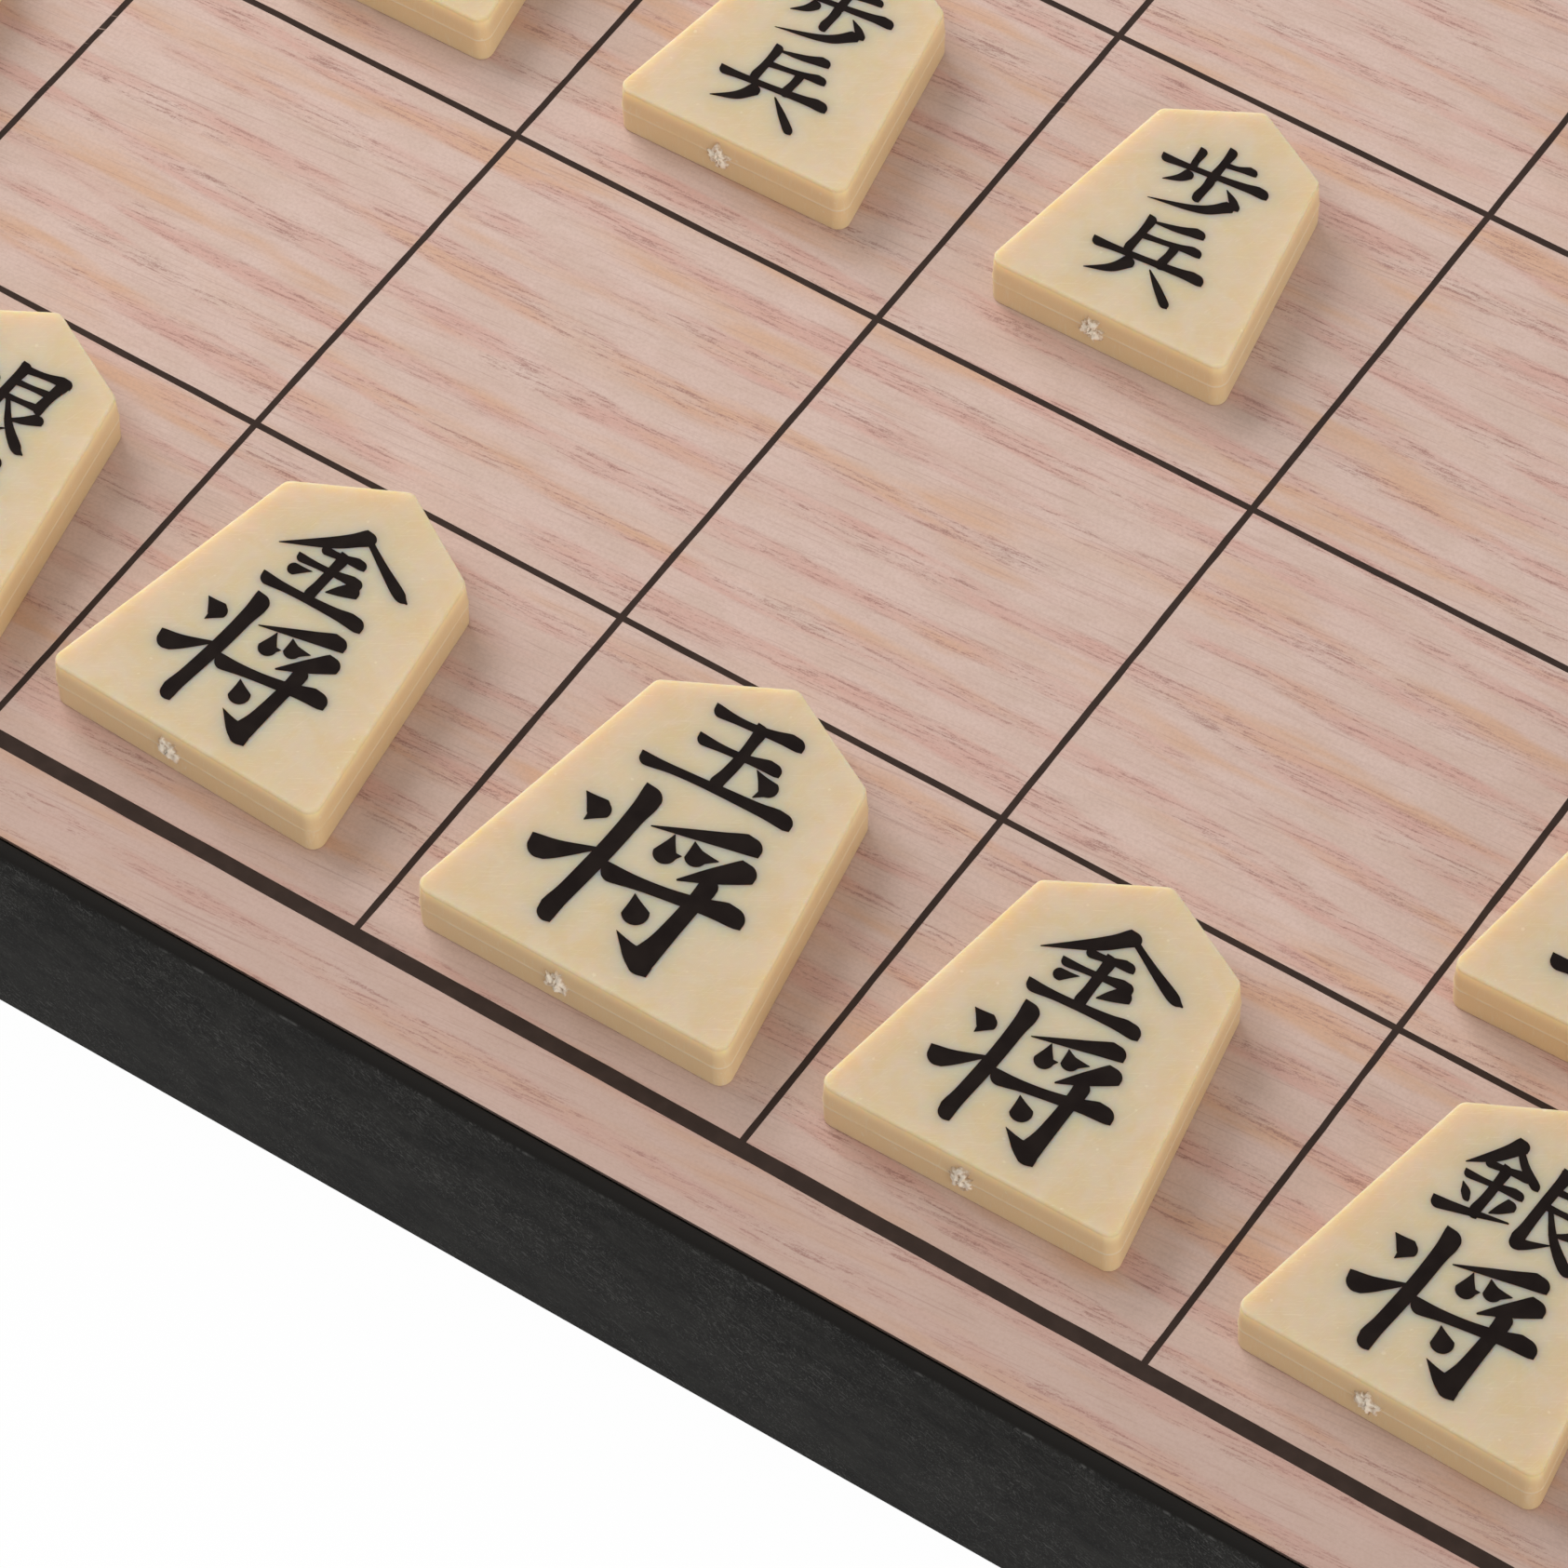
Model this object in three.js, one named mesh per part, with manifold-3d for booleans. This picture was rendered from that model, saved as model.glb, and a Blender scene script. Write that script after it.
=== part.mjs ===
// A folding magnetic travel shogi set, opened flat, with its forty pieces set out on the board.
// Millimetres, +Z up. The origin lies under the middle of the fold, on the surface that the feet
// stand on: +X runs along the ranks to the near player's right, +Y away from the near player.
import * as THREE from "three";
import { mergeVertices } from "three/addons/utils/BufferGeometryUtils.js";
import Module from "manifold-3d";

const wasm = await Module();
wasm.setup();

// Playing grid
const file_count = 9;
const rank_count = 9;
const file_pitch = 25.9;
const rank_pitch = 26.3;
const side_margin = 7.2; // from the outer grid line to the edge of the printed sheet, left and right
const end_margin = 5.4; // the same at the players' ends

// Printed sheet and the steel plate under it
const sheet_thickness = 0.25;
const plate_thickness = 0.5;
const plate_setback = 0.4; // the plate is smaller than the sheet by this much all round
const sheet_corner_radius = 2;
const sheet_fold_corner_radius = 0.3;
const sheet_clearance = 0.3;

// Moulded case halves
const rim_width = 0.95; // flat black border outside the sheet
const fold_rim_width = 0.5; // the same border along the fold
const rim_stand = 0.15; // how far the border stands proud of the sheet
const case_height = 15.85; // from the bottom edge of the walls to the border
const wall_thickness = 2;
const deck_thickness = 1.6;
const case_corner_radius = 3.5;
const fold_corner_radius = 0.8;
const top_edge_round = 0.5;
const bottom_edge_chamfer = 0.3;
const hollow_corner_radius = 1.6;
const rib_thickness = 1.2;
const rib_depth = 2;
const long_rib_count = 6; // ribs that run from the fold to the outer wall
const cross_rib_count = 2; // ribs that run from side to side
const overrun = 1; // how far a cutting solid passes the face that it cuts
const fuse = 0.2; // how far a boss or rib runs into the wall that carries it

// Locating lip: a tongue under the far walls enters a rebate in the near walls when the case is shut
const lip_setback = 1;
const lip_clearance = 0.3;
const lip_height = 1.2;
const lip_start = 14; // distance of the tongue's ends from the fold

// Hinge
const fold_gap = 0.3; // between the halves at the fold, opened flat
const closing_gap = 0.3; // between the walls' bottom edges, folded shut
const knuckle_count = 5;
const knuckle_length = 9;
const knuckle_gap = 0.3;
const knuckle_ground_clearance = 0.25;
const pin_diameter = 1.8;
const pin_clearance = 0.3;
const pin_end_inset = 0.6;
const knuckle_end_wall = 1.2;
const hinge_place_share = 0.28; // of the board's length, from the middle to each hinge

// Rubber feet
const foot_stand = 2.4; // how far a foot stands below the walls
const foot_diameter = 8;
const foot_seat_depth = 1;
const foot_edge_chamfer = 0.5;
const foot_clearance = 0.3;
const boss_wall = 1.2;
const boss_spacing = 2;

// Closing magnets
const magnet_diameter = 6;
const magnet_thickness = 2;
const magnet_recess = 0.2;
const magnet_clearance = 0.3;
const magnet_edge_chamfer = 0.2;

// Pieces
const piece_thickness = 3.6;
const piece_edge_round = 0.3;
const piece_draft = 0.12; // the sides lean in this much from the parting line to either face
const piece_corner_radius = 1.3;
const shoulder_width_share = 0.686; // of the butt's width
const shoulder_height_share = 0.836; // of the height
const piece_sizes = {
  king: { width: 21, height: 22.95 },
  rook: { width: 20.1, height: 22.3 },
  bishop: { width: 20.1, height: 22.3 },
  gold: { width: 19.2, height: 21.6 },
  silver: { width: 19.2, height: 21.6 },
  knight: { width: 18.2, height: 20.7 },
  lance: { width: 17, height: 19.7 },
  pawn: { width: 16.2, height: 18.4 },
};

// Smoothness of round forms
const corner_steps = 4;
const piece_corner_steps = 3;
const round_sides = 16;
const pin_sides = 12;
const pin_end_chamfer = 0.25;
const least_corner_radius = 0.15;

// Worked-out sizes of the board
const half_length = (file_count * file_pitch) / 2 + side_margin + sheet_clearance + rim_width;
const half_depth = (rank_count * rank_pitch) / 2 + end_margin + sheet_clearance + rim_width;
const sheet_half_length = half_length - rim_width - sheet_clearance;
const sheet_outer = half_depth - rim_width - sheet_clearance; // from the fold's middle
const case_inner = fold_gap / 2;
const sheet_inner = case_inner + fold_rim_width + sheet_clearance;
const wall_bottom = foot_stand;
const rim_level = wall_bottom + case_height;
const sheet_top = rim_level - rim_stand;
const plate_top = sheet_top - sheet_thickness;
const deck_top = plate_top - plate_thickness;
const deck_bottom = deck_top - deck_thickness;
const rib_bottom = deck_bottom - rib_depth;
const hinge_level = wall_bottom - closing_gap / 2;
const knuckle_radius = hinge_level - knuckle_ground_clearance;
const bore_radius = pin_diameter / 2 + pin_clearance;
const hinge_length = knuckle_count * knuckle_length + (knuckle_count - 1) * knuckle_gap;
const hinge_place = 2 * half_length * hinge_place_share;
const lip_thickness = wall_thickness - lip_setback - lip_clearance;
const foot_boss_radius = foot_diameter / 2 + foot_clearance + boss_wall;
const magnet_boss_radius = magnet_diameter / 2 + magnet_clearance + boss_wall;
const magnet_inset = wall_thickness + magnet_boss_radius - fuse;
const foot_inset = wall_thickness + foot_boss_radius - fuse;

// Materials
const finishes = {
  black_plastic: { color: 0x1d1c1c, roughness: 0.62, metalness: 0 },
  steel: { color: 0x9a9a98, roughness: 0.4, metalness: 1 },
  print: { color: 0xcdb0a2, roughness: 0.5, metalness: 0 },
  rubber: { color: 0x262524, roughness: 0.9, metalness: 0 },
  magnet: { color: 0xa9a8a4, roughness: 0.3, metalness: 1 },
  ivory_plastic: { color: 0xe0c8a2, roughness: 0.45, metalness: 0 },
};

const board = new THREE.Group();

/** Adds one named piece with a material of its own. */
function addPiece(parent, name, geometry, finish) {
  const mesh = new THREE.Mesh(geometry, new THREE.MeshStandardMaterial(finishes[finish]));
  mesh.name = name;
  parent.add(mesh);
  return mesh;
}

/** A closed solid between stacked outlines of [x, y] points; levels holds one height for each. */
function loft(outlines, levels) {
  const count = outlines[0].length;
  const positions = outlines.flatMap((ring, k) => ring.flatMap(([x, y]) => [x, y, levels[k]]));
  const faces = [];
  for (let k = 0; k + 1 < outlines.length; k += 1) {
    for (let i = 0; i < count; i += 1) {
      const j = (i + 1) % count;
      const [a, b, c, d] = [k * count + i, k * count + j, (k + 1) * count + j, (k + 1) * count + i];
      faces.push(a, b, c, a, c, d);
    }
  }
  const last = (outlines.length - 1) * count;
  for (let i = 1; i + 1 < count; i += 1) {
    faces.push(0, i + 1, i);
    faces.push(last, last + i, last + i + 1);
  }
  const geometry = new THREE.BufferGeometry();
  geometry.setAttribute("position", new THREE.Float32BufferAttribute(positions, 3));
  geometry.setIndex(faces);
  geometry.computeVertexNormals();
  return geometry;
}

/** Rounds each corner of a convex, counter-clockwise outline with a tangent arc of its own radius. */
function roundCorners(corners, radii, steps) {
  const count = corners.length;
  return corners.flatMap(([x, y], i) => {
    const corner = new THREE.Vector2(x, y);
    const before = new THREE.Vector2(...corners[(i + count - 1) % count]).sub(corner).normalize();
    const after = new THREE.Vector2(...corners[(i + 1) % count]).sub(corner).normalize();
    const half = Math.acos(THREE.MathUtils.clamp(before.dot(after), -1, 1)) / 2;
    const radius = radii[i % radii.length];
    const middle = before.clone().add(after).normalize().multiplyScalar(radius / Math.sin(half)).add(corner);
    const start = before.multiplyScalar(radius / Math.tan(half)).add(corner).sub(middle);
    const turn = Math.PI - 2 * half;
    return Array.from({ length: steps + 1 }, (_, k) => {
      const point = start.clone().rotateAround(new THREE.Vector2(), (turn * k) / steps).add(middle);
      return [point.x, point.y];
    });
  });
}

/** A rectangle drawn in by inset, its corners rounded as if the outer arcs had been drawn in too. */
function rectangle({ left, right, front, back, radii }, inset = 0, steps = corner_steps) {
  const corners = [
    [left + inset, front + inset],
    [right - inset, front + inset],
    [right - inset, back - inset],
    [left + inset, back - inset],
  ];
  return roundCorners(corners, radii.map((r) => Math.max(r - inset, least_corner_radius)), steps);
}

/** A straight block of rectangular outline with rounded corners, between two heights. */
function slab(outline, low, high, inset = 0) {
  const ring = rectangle(outline, inset);
  return loft([ring, ring], [low, high]);
}

/** A disc standing on low, with both edges broken by a small chamfer. */
function disc(radius, low, high, chamfer, sides = round_sides) {
  const ring = (r) => Array.from({ length: sides }, (_, i) => {
    const angle = (2 * Math.PI * i) / sides;
    return [r * Math.cos(angle), r * Math.sin(angle)];
  });
  if (!chamfer) return loft([ring(radius), ring(radius)], [low, high]);
  const rings = [ring(radius - chamfer), ring(radius), ring(radius), ring(radius - chamfer)];
  return loft(rings, [low, low + chamfer, high - chamfer, high]);
}

/** A round bar along X at the hinge's height, from one place to another. */
function bar(radius, from, to, chamfer, sides = round_sides) {
  const geometry = disc(radius, from, to, chamfer, sides);
  geometry.rotateY(Math.PI / 2);
  geometry.translate(0, 0, hinge_level);
  return geometry;
}

/** The closed solid that a geometry bounds, ready to be joined or cut. */
function solid(geometry) {
  const bare = geometry.clone();
  bare.deleteAttribute("normal");
  bare.deleteAttribute("uv");
  const merged = mergeVertices(bare);
  return new wasm.Manifold(new wasm.Mesh({
    numProp: 3,
    vertProperties: new Float32Array(merged.attributes.position.array),
    triVerts: new Uint32Array(merged.index.array),
  }));
}

/** The geometry of a joined or cut solid. */
function surface(body) {
  const mesh = body.getMesh();
  const geometry = new THREE.BufferGeometry();
  geometry.setAttribute("position", new THREE.BufferAttribute(mesh.vertProperties, 3));
  geometry.setIndex(new THREE.BufferAttribute(mesh.triVerts, 1));
  geometry.computeVertexNormals();
  return geometry;
}

/** One block between two corners. */
function block([x0, y0, z0], [x1, y1, z1]) {
  const geometry = new THREE.BoxGeometry(x1 - x0, y1 - y0, z1 - z0);
  geometry.translate((x0 + x1) / 2, (y0 + y1) / 2, (z0 + z1) / 2);
  return geometry;
}

/** Both halves are drawn alike: side is -1 for the near half and 1 for the far one. */
function halfOutline(side, from_fold, from_middle, half_width, outer_radius, inner_radius) {
  const [front, back] = [side * from_fold, side * from_middle].sort((a, b) => a - b);
  const near_radii = side < 0 ? outer_radius : inner_radius;
  const far_radii = side < 0 ? inner_radius : outer_radius;
  return {
    left: -half_width,
    right: half_width,
    front,
    back,
    radii: [near_radii, near_radii, far_radii, far_radii],
  };
}

/** Places along X of the knuckles of both hinges; owner is the side that each belongs to. */
function knuckles() {
  const list = [];
  for (const hand of [-1, 1]) {
    for (let i = 0; i < knuckle_count; i += 1) {
      const start = hinge_place - hinge_length / 2 + i * (knuckle_length + knuckle_gap);
      const ends = [hand * start, hand * (start + knuckle_length)].sort((a, b) => a - b);
      list.push({ from: ends[0], to: ends[1], owner: i % 2 ? 1 : -1 });
    }
  }
  return list;
}

/** Centres of one half's feet: the far feet stand inside the near ones, so that they pass when shut. */
function footPlaces(side) {
  const near_x = half_length - magnet_inset - magnet_boss_radius - boss_spacing - foot_boss_radius;
  const x = side < 0 ? near_x : near_x - 2 * foot_boss_radius - boss_spacing;
  return [-x, x].flatMap((place) => [
    [place, side * (half_depth - foot_inset)],
    [place, side * (case_inner + foot_inset)],
  ]);
}

/** Centres of one half's closing magnets, in its two outer corners. */
function magnetPlaces(side) {
  const x = half_length - magnet_inset;
  return [-x, x].map((place) => [place, side * (half_depth - magnet_inset)]);
}

/** A band that follows the three outer walls, between two distances in from the outer face. */
function wallBand(side, outer_inset, inner_inset, low, high, start) {
  const radius = case_corner_radius;
  const outline = halfOutline(side, start, half_depth, half_length, radius, fold_corner_radius);
  const stretch = overrun + inner_inset;
  const longer = halfOutline(side, start - stretch, half_depth, half_length, radius, fold_corner_radius);
  const outer = solid(slab(longer, low, high, outer_inset));
  const inner = solid(slab(longer, low - overrun, high + overrun, inner_inset));
  const kept = solid(block(
    [-half_length, Math.min(outline.front, outline.back), low - overrun],
    [half_length, Math.max(outline.front, outline.back), high + overrun],
  ));
  return outer.subtract(inner).intersect(kept);
}

/** Stiffening ribs under the deck, evenly spaced between the walls. */
function ribs(side) {
  const list = [];
  const reach = half_length - wall_thickness + fuse;
  const from_fold = case_inner + wall_thickness - fuse;
  const to_outer = half_depth - wall_thickness + fuse;
  const low = Math.min(side * from_fold, side * to_outer);
  const high = Math.max(side * from_fold, side * to_outer);
  const root = deck_bottom + fuse;
  for (let i = 1; i <= long_rib_count; i += 1) {
    const x = -reach + (2 * reach * i) / (long_rib_count + 1);
    list.push(block([x - rib_thickness / 2, low, rib_bottom], [x + rib_thickness / 2, high, root]));
  }
  for (let i = 1; i <= cross_rib_count; i += 1) {
    const y = low + ((high - low) * i) / (cross_rib_count + 1);
    list.push(block([-reach, y - rib_thickness / 2, rib_bottom], [reach, y + rib_thickness / 2, root]));
  }
  return list;
}

/** One moulded half: an inverted tray with its deck recess, ribs, bosses, lip and knuckles. */
function caseHalf(side) {
  const shell = halfOutline(
    side, case_inner, half_depth, half_length, case_corner_radius, fold_corner_radius,
  );
  const rings = [
    [bottom_edge_chamfer, wall_bottom],
    [0, wall_bottom + bottom_edge_chamfer],
    [0, rim_level - top_edge_round],
  ];
  for (let k = 1; k <= corner_steps; k += 1) {
    const angle = (Math.PI / 2) * (k / corner_steps);
    const [inset, drop] = [1 - Math.cos(angle), 1 - Math.sin(angle)];
    rings.push([top_edge_round * inset, rim_level - top_edge_round * drop]);
  }
  let body = solid(loft(rings.map(([inset]) => rectangle(shell, inset)), rings.map(([, level]) => level)));

  const hollow = {
    ...shell,
    radii: shell.radii.map(() => hollow_corner_radius + wall_thickness),
  };
  body = body.subtract(solid(slab(hollow, wall_bottom - overrun, deck_bottom, wall_thickness)));

  for (const rib of ribs(side)) body = body.add(solid(rib));
  for (const [x, y] of footPlaces(side)) {
    body = body.add(solid(disc(foot_boss_radius, wall_bottom, deck_bottom + fuse).translate(x, y, 0)));
  }
  for (const [x, y] of magnetPlaces(side)) {
    body = body.add(solid(disc(magnet_boss_radius, wall_bottom, deck_bottom + fuse).translate(x, y, 0)));
  }

  const recess = halfOutline(
    side, sheet_inner - sheet_clearance, sheet_outer + sheet_clearance, sheet_half_length + sheet_clearance,
    sheet_corner_radius + sheet_clearance, sheet_fold_corner_radius + sheet_clearance,
  );
  body = body.subtract(solid(slab(recess, deck_top, rim_level + overrun)));

  for (const [x, y] of footPlaces(side)) {
    const seat_radius = foot_diameter / 2 + foot_clearance;
    const seat = disc(seat_radius, wall_bottom - overrun, wall_bottom + foot_seat_depth);
    body = body.subtract(solid(seat.translate(x, y, 0)));
  }
  for (const [x, y] of magnetPlaces(side)) {
    const seat_top = wall_bottom + magnet_recess + magnet_thickness;
    const seat = disc(magnet_diameter / 2 + magnet_clearance, wall_bottom - overrun, seat_top);
    body = body.subtract(solid(seat.translate(x, y, 0)));
  }

  if (side < 0) {
    const rebate_top = wall_bottom + lip_height - closing_gap + lip_clearance;
    const rebate_start = lip_start - lip_clearance;
    body = body.subtract(wallBand(
      side, lip_setback - lip_clearance, wall_thickness, wall_bottom - overrun, rebate_top, rebate_start,
    ));
  } else {
    body = body.add(wallBand(
      side, lip_setback, lip_setback + lip_thickness, wall_bottom - lip_height, wall_bottom + fuse, lip_start,
    ));
  }

  for (const { from, to, owner } of knuckles()) {
    if (owner === side) continue;
    const room = bar(knuckle_radius + knuckle_gap, from - knuckle_gap, to + knuckle_gap);
    body = body.subtract(solid(room));
  }
  for (const { from, to, owner } of knuckles()) {
    if (owner !== side) continue;
    body = body.add(solid(bar(knuckle_radius, from, to)));
  }
  for (const hand of [-1, 1]) {
    const [from, to] = boreEnds(hand);
    body = body.subtract(solid(bar(bore_radius, from, to, 0, pin_sides)));
  }
  return surface(body);
}

/** Where a hinge's bore starts and ends along X: blind at the outer end, open towards the middle. */
function boreEnds(hand) {
  const inner = hinge_place - hinge_length / 2 - overrun;
  const outer = hinge_place + hinge_length / 2 - knuckle_end_wall;
  return [hand * inner, hand * outer].sort((a, b) => a - b);
}

/** A steel hinge pin, just short of both ends of its bore. */
function hingePin(hand) {
  const inner = hinge_place - hinge_length / 2 + pin_end_inset;
  const outer = hinge_place + hinge_length / 2 - knuckle_end_wall - pin_clearance;
  const [from, to] = [hand * inner, hand * outer].sort((a, b) => a - b);
  return bar(pin_diameter / 2, from, to, pin_end_chamfer, pin_sides);
}

/** The outline of a piece: a wedge with a straight butt, two shoulders and a point, drawn in by inset. */
function pieceOutline({ width, height }, inset) {
  const shoulder = (width * shoulder_width_share) / 2;
  const shoulder_height = height * shoulder_height_share;
  const corners = [
    new THREE.Vector2(-width / 2, -height / 2),
    new THREE.Vector2(width / 2, -height / 2),
    new THREE.Vector2(shoulder, shoulder_height - height / 2),
    new THREE.Vector2(0, height / 2),
    new THREE.Vector2(-shoulder, shoulder_height - height / 2),
  ];
  const drawn_in = corners.map((corner, i) => {
    const before = corners[(i + corners.length - 1) % corners.length].clone().sub(corner).normalize();
    const after = corners[(i + 1) % corners.length].clone().sub(corner).normalize();
    const half = Math.acos(before.dot(after)) / 2;
    const step = before.add(after).normalize().multiplyScalar(inset / Math.sin(half));
    return step.add(corner).toArray();
  });
  return roundCorners(drawn_in, [piece_corner_radius - inset], piece_corner_steps);
}

/** A piece, widest at the parting line half way up, with two like faces so that it can be turned over. */
function gamePiece(kind) {
  const size = piece_sizes[kind];
  const sections = [
    [piece_draft + piece_edge_round, 0],
    [piece_draft, piece_edge_round],
    [0, piece_thickness / 2],
    [piece_draft, piece_thickness - piece_edge_round],
    [piece_draft + piece_edge_round, piece_thickness],
  ];
  return loft(sections.map(([inset]) => pieceOutline(size, inset)), sections.map(([, level]) => level));
}

const back_rank = ["lance", "knight", "silver", "gold", "king", "gold", "silver", "knight", "lance"];

// Files are counted from the near player's right, ranks from the far player's end.
// Pawns that have moved stand one rank further on, and both rooks have slid along their rank.
const pawn_steps = 2; // ranks from the home rank to an unmoved pawn
const moved_pawns = { near: [4], far: [3, 8] };
const rook_files = { near: 3, far: 8 };
const bishop_files = { near: 8, far: 2 };

// How pieces stand in their squares: shares of a square's pitch across and along, and a turn in degrees.
const standing_shares = {
  near_king: [-0.003, 0.034, 0.1],
  near_gold_file4: [-0.038, 0.062, 0.9],
  near_gold_file6: [-0.035, 0.046, -2.1],
  near_silver_file7: [0.024, 0.03, 1.4],
  near_silver_file3: [-0.003, 0.059, -1],
  near_rook: [-0.076, 0.045, 1.5],
  near_pawn_file5: [-0.024, 0.04, 1],
  near_pawn_file6: [-0.019, 0.005, 1.2],
};
const place_wander_share = 0.03;
const turn_wander = 1.4; // degrees
const wander_steps = [2.4, 1.7, 3.1]; // how fast each of the three values changes from piece to piece

/** The name, kind, side, file and rank of every piece on the board. */
function setOut() {
  const list = [];
  for (const [side, home] of [["near", rank_count], ["far", 1]]) {
    const forward = side === "near" ? -1 : 1;
    back_rank.forEach((kind, i) => {
      const file = file_count - i;
      const name = kind === "king" ? `${side}_king` : `${side}_${kind}_file${file}`;
      list.push({ name, kind, side, file, rank: home });
    });
    for (const [kind, files] of [["rook", rook_files], ["bishop", bishop_files]]) {
      list.push({ name: `${side}_${kind}`, kind, side, file: files[side], rank: home + forward });
    }
    for (let file = 1; file <= file_count; file += 1) {
      const rank = home + forward * (pawn_steps + moved_pawns[side].includes(file));
      list.push({ name: `${side}_pawn_file${file}`, kind: "pawn", side, file, rank });
    }
  }
  return list;
}

/** Places one piece on the sheet, a little off its square's middle and a little turned, as by hand. */
function placePiece({ name, kind, side, file, rank }, index) {
  const [fast, middling, slow] = wander_steps.map((step) => Math.sin(step * index));
  const loose = [place_wander_share * fast, place_wander_share * middling, turn_wander * slow];
  const [across, along, turn] = standing_shares[name] ?? loose;
  const mesh = addPiece(board, name, gamePiece(kind), "ivory_plastic");
  mesh.position.set(
    ((file_count + 1) / 2 - file + across) * file_pitch,
    ((rank_count + 1) / 2 - rank + along) * rank_pitch,
    sheet_top,
  );
  mesh.rotation.z = THREE.MathUtils.degToRad(turn) + (side === "far" ? Math.PI : 0);
}

for (const [prefix, side] of [["near", -1], ["far", 1]]) {
  addPiece(board, `${prefix}_case`, caseHalf(side), "black_plastic");
  const sheet = halfOutline(
    side, sheet_inner, sheet_outer, sheet_half_length, sheet_corner_radius, sheet_fold_corner_radius,
  );
  addPiece(board, `${prefix}_steel_plate`, slab(sheet, deck_top, plate_top, plate_setback), "steel");
  addPiece(board, `${prefix}_printed_sheet`, slab(sheet, plate_top, sheet_top), "print");
  const foot_names = ["left_outer", "left_fold", "right_outer", "right_fold"];
  footPlaces(side).forEach(([x, y], i) => {
    const foot = disc(foot_diameter / 2, 0, foot_stand + foot_seat_depth, foot_edge_chamfer);
    addPiece(board, `${prefix}_foot_${foot_names[i]}`, foot.translate(x, y, 0), "rubber");
  });
  const magnet_names = ["left", "right"];
  magnetPlaces(side).forEach(([x, y], i) => {
    const low = wall_bottom + magnet_recess;
    const magnet = disc(magnet_diameter / 2, low, low + magnet_thickness, magnet_edge_chamfer);
    addPiece(board, `${prefix}_closing_magnet_${magnet_names[i]}`, magnet.translate(x, y, 0), "magnet");
  });
}

for (const [name, hand] of [["left_hinge_pin", -1], ["right_hinge_pin", 1]]) {
  addPiece(board, name, hingePin(hand), "steel");
}

setOut().forEach(placePiece);

export default board;
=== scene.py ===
"""Dresses a folding magnetic shogi set: printed board, black case halves and forty ivory pieces."""

import logging
import math
from dataclasses import dataclass, field
from enum import Enum
from typing import Iterable, Sequence

import bmesh
import bpy
import numpy as np
from mathutils import Matrix, Vector


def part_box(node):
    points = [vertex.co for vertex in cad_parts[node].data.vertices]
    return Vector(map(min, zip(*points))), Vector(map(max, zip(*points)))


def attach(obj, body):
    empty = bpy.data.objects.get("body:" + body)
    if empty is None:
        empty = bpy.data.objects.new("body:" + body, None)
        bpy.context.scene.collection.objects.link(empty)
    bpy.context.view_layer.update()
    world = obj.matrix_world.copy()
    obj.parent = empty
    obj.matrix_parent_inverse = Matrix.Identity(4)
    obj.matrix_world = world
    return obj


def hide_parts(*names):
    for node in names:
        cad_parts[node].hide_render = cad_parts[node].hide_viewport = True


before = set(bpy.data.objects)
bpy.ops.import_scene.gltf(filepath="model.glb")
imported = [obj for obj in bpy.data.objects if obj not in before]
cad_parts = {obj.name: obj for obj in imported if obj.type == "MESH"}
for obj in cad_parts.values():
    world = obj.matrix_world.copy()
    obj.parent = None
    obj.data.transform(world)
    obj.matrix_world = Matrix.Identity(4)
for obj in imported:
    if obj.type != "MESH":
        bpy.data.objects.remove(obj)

LOG = logging.getLogger("shogi_set")
MM = 0.001  # shapes are in millimetres, finishes and lamps in metres
SEED = 7
SOLID_SHARP_ABOVE = 35.0
FILM_SHARP_ABOVE = 60.0
FILM_POINTS = 4

Rgba = tuple[float, float, float, float]
Point3 = tuple[float, float, float]
Faces = list[list[int]]
Socket = bpy.types.NodeSocket
Random = np.random.Generator


def srgb(red: int, green: int, blue: int) -> Rgba:
    """Turn a screen colour into the linear colour that shaders use.

    Args:
        red: Red from 0 to 255.
        green: Green from 0 to 255.
        blue: Blue from 0 to 255.

    Returns:
        Linear red, green, blue and full opacity.
    """
    shares = np.array([red, green, blue]) / 255
    linear = np.where(shares <= 0.04045, shares / 12.92, ((shares + 0.055) / 1.055) ** 2.4)
    return (*linear.tolist(), 1.0)


class Side(Enum):
    """The two halves of the board; the value is the direction of the half along Y."""

    NEAR = -1
    FAR = 1

    @property
    def prefix(self) -> str:
        """The first word of the names of this half's nodes."""
        return self.name.lower()

    @property
    def body(self) -> str:
        """The body that this half's fixed parts ride on."""
        return f"{self.prefix}_half"


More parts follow.
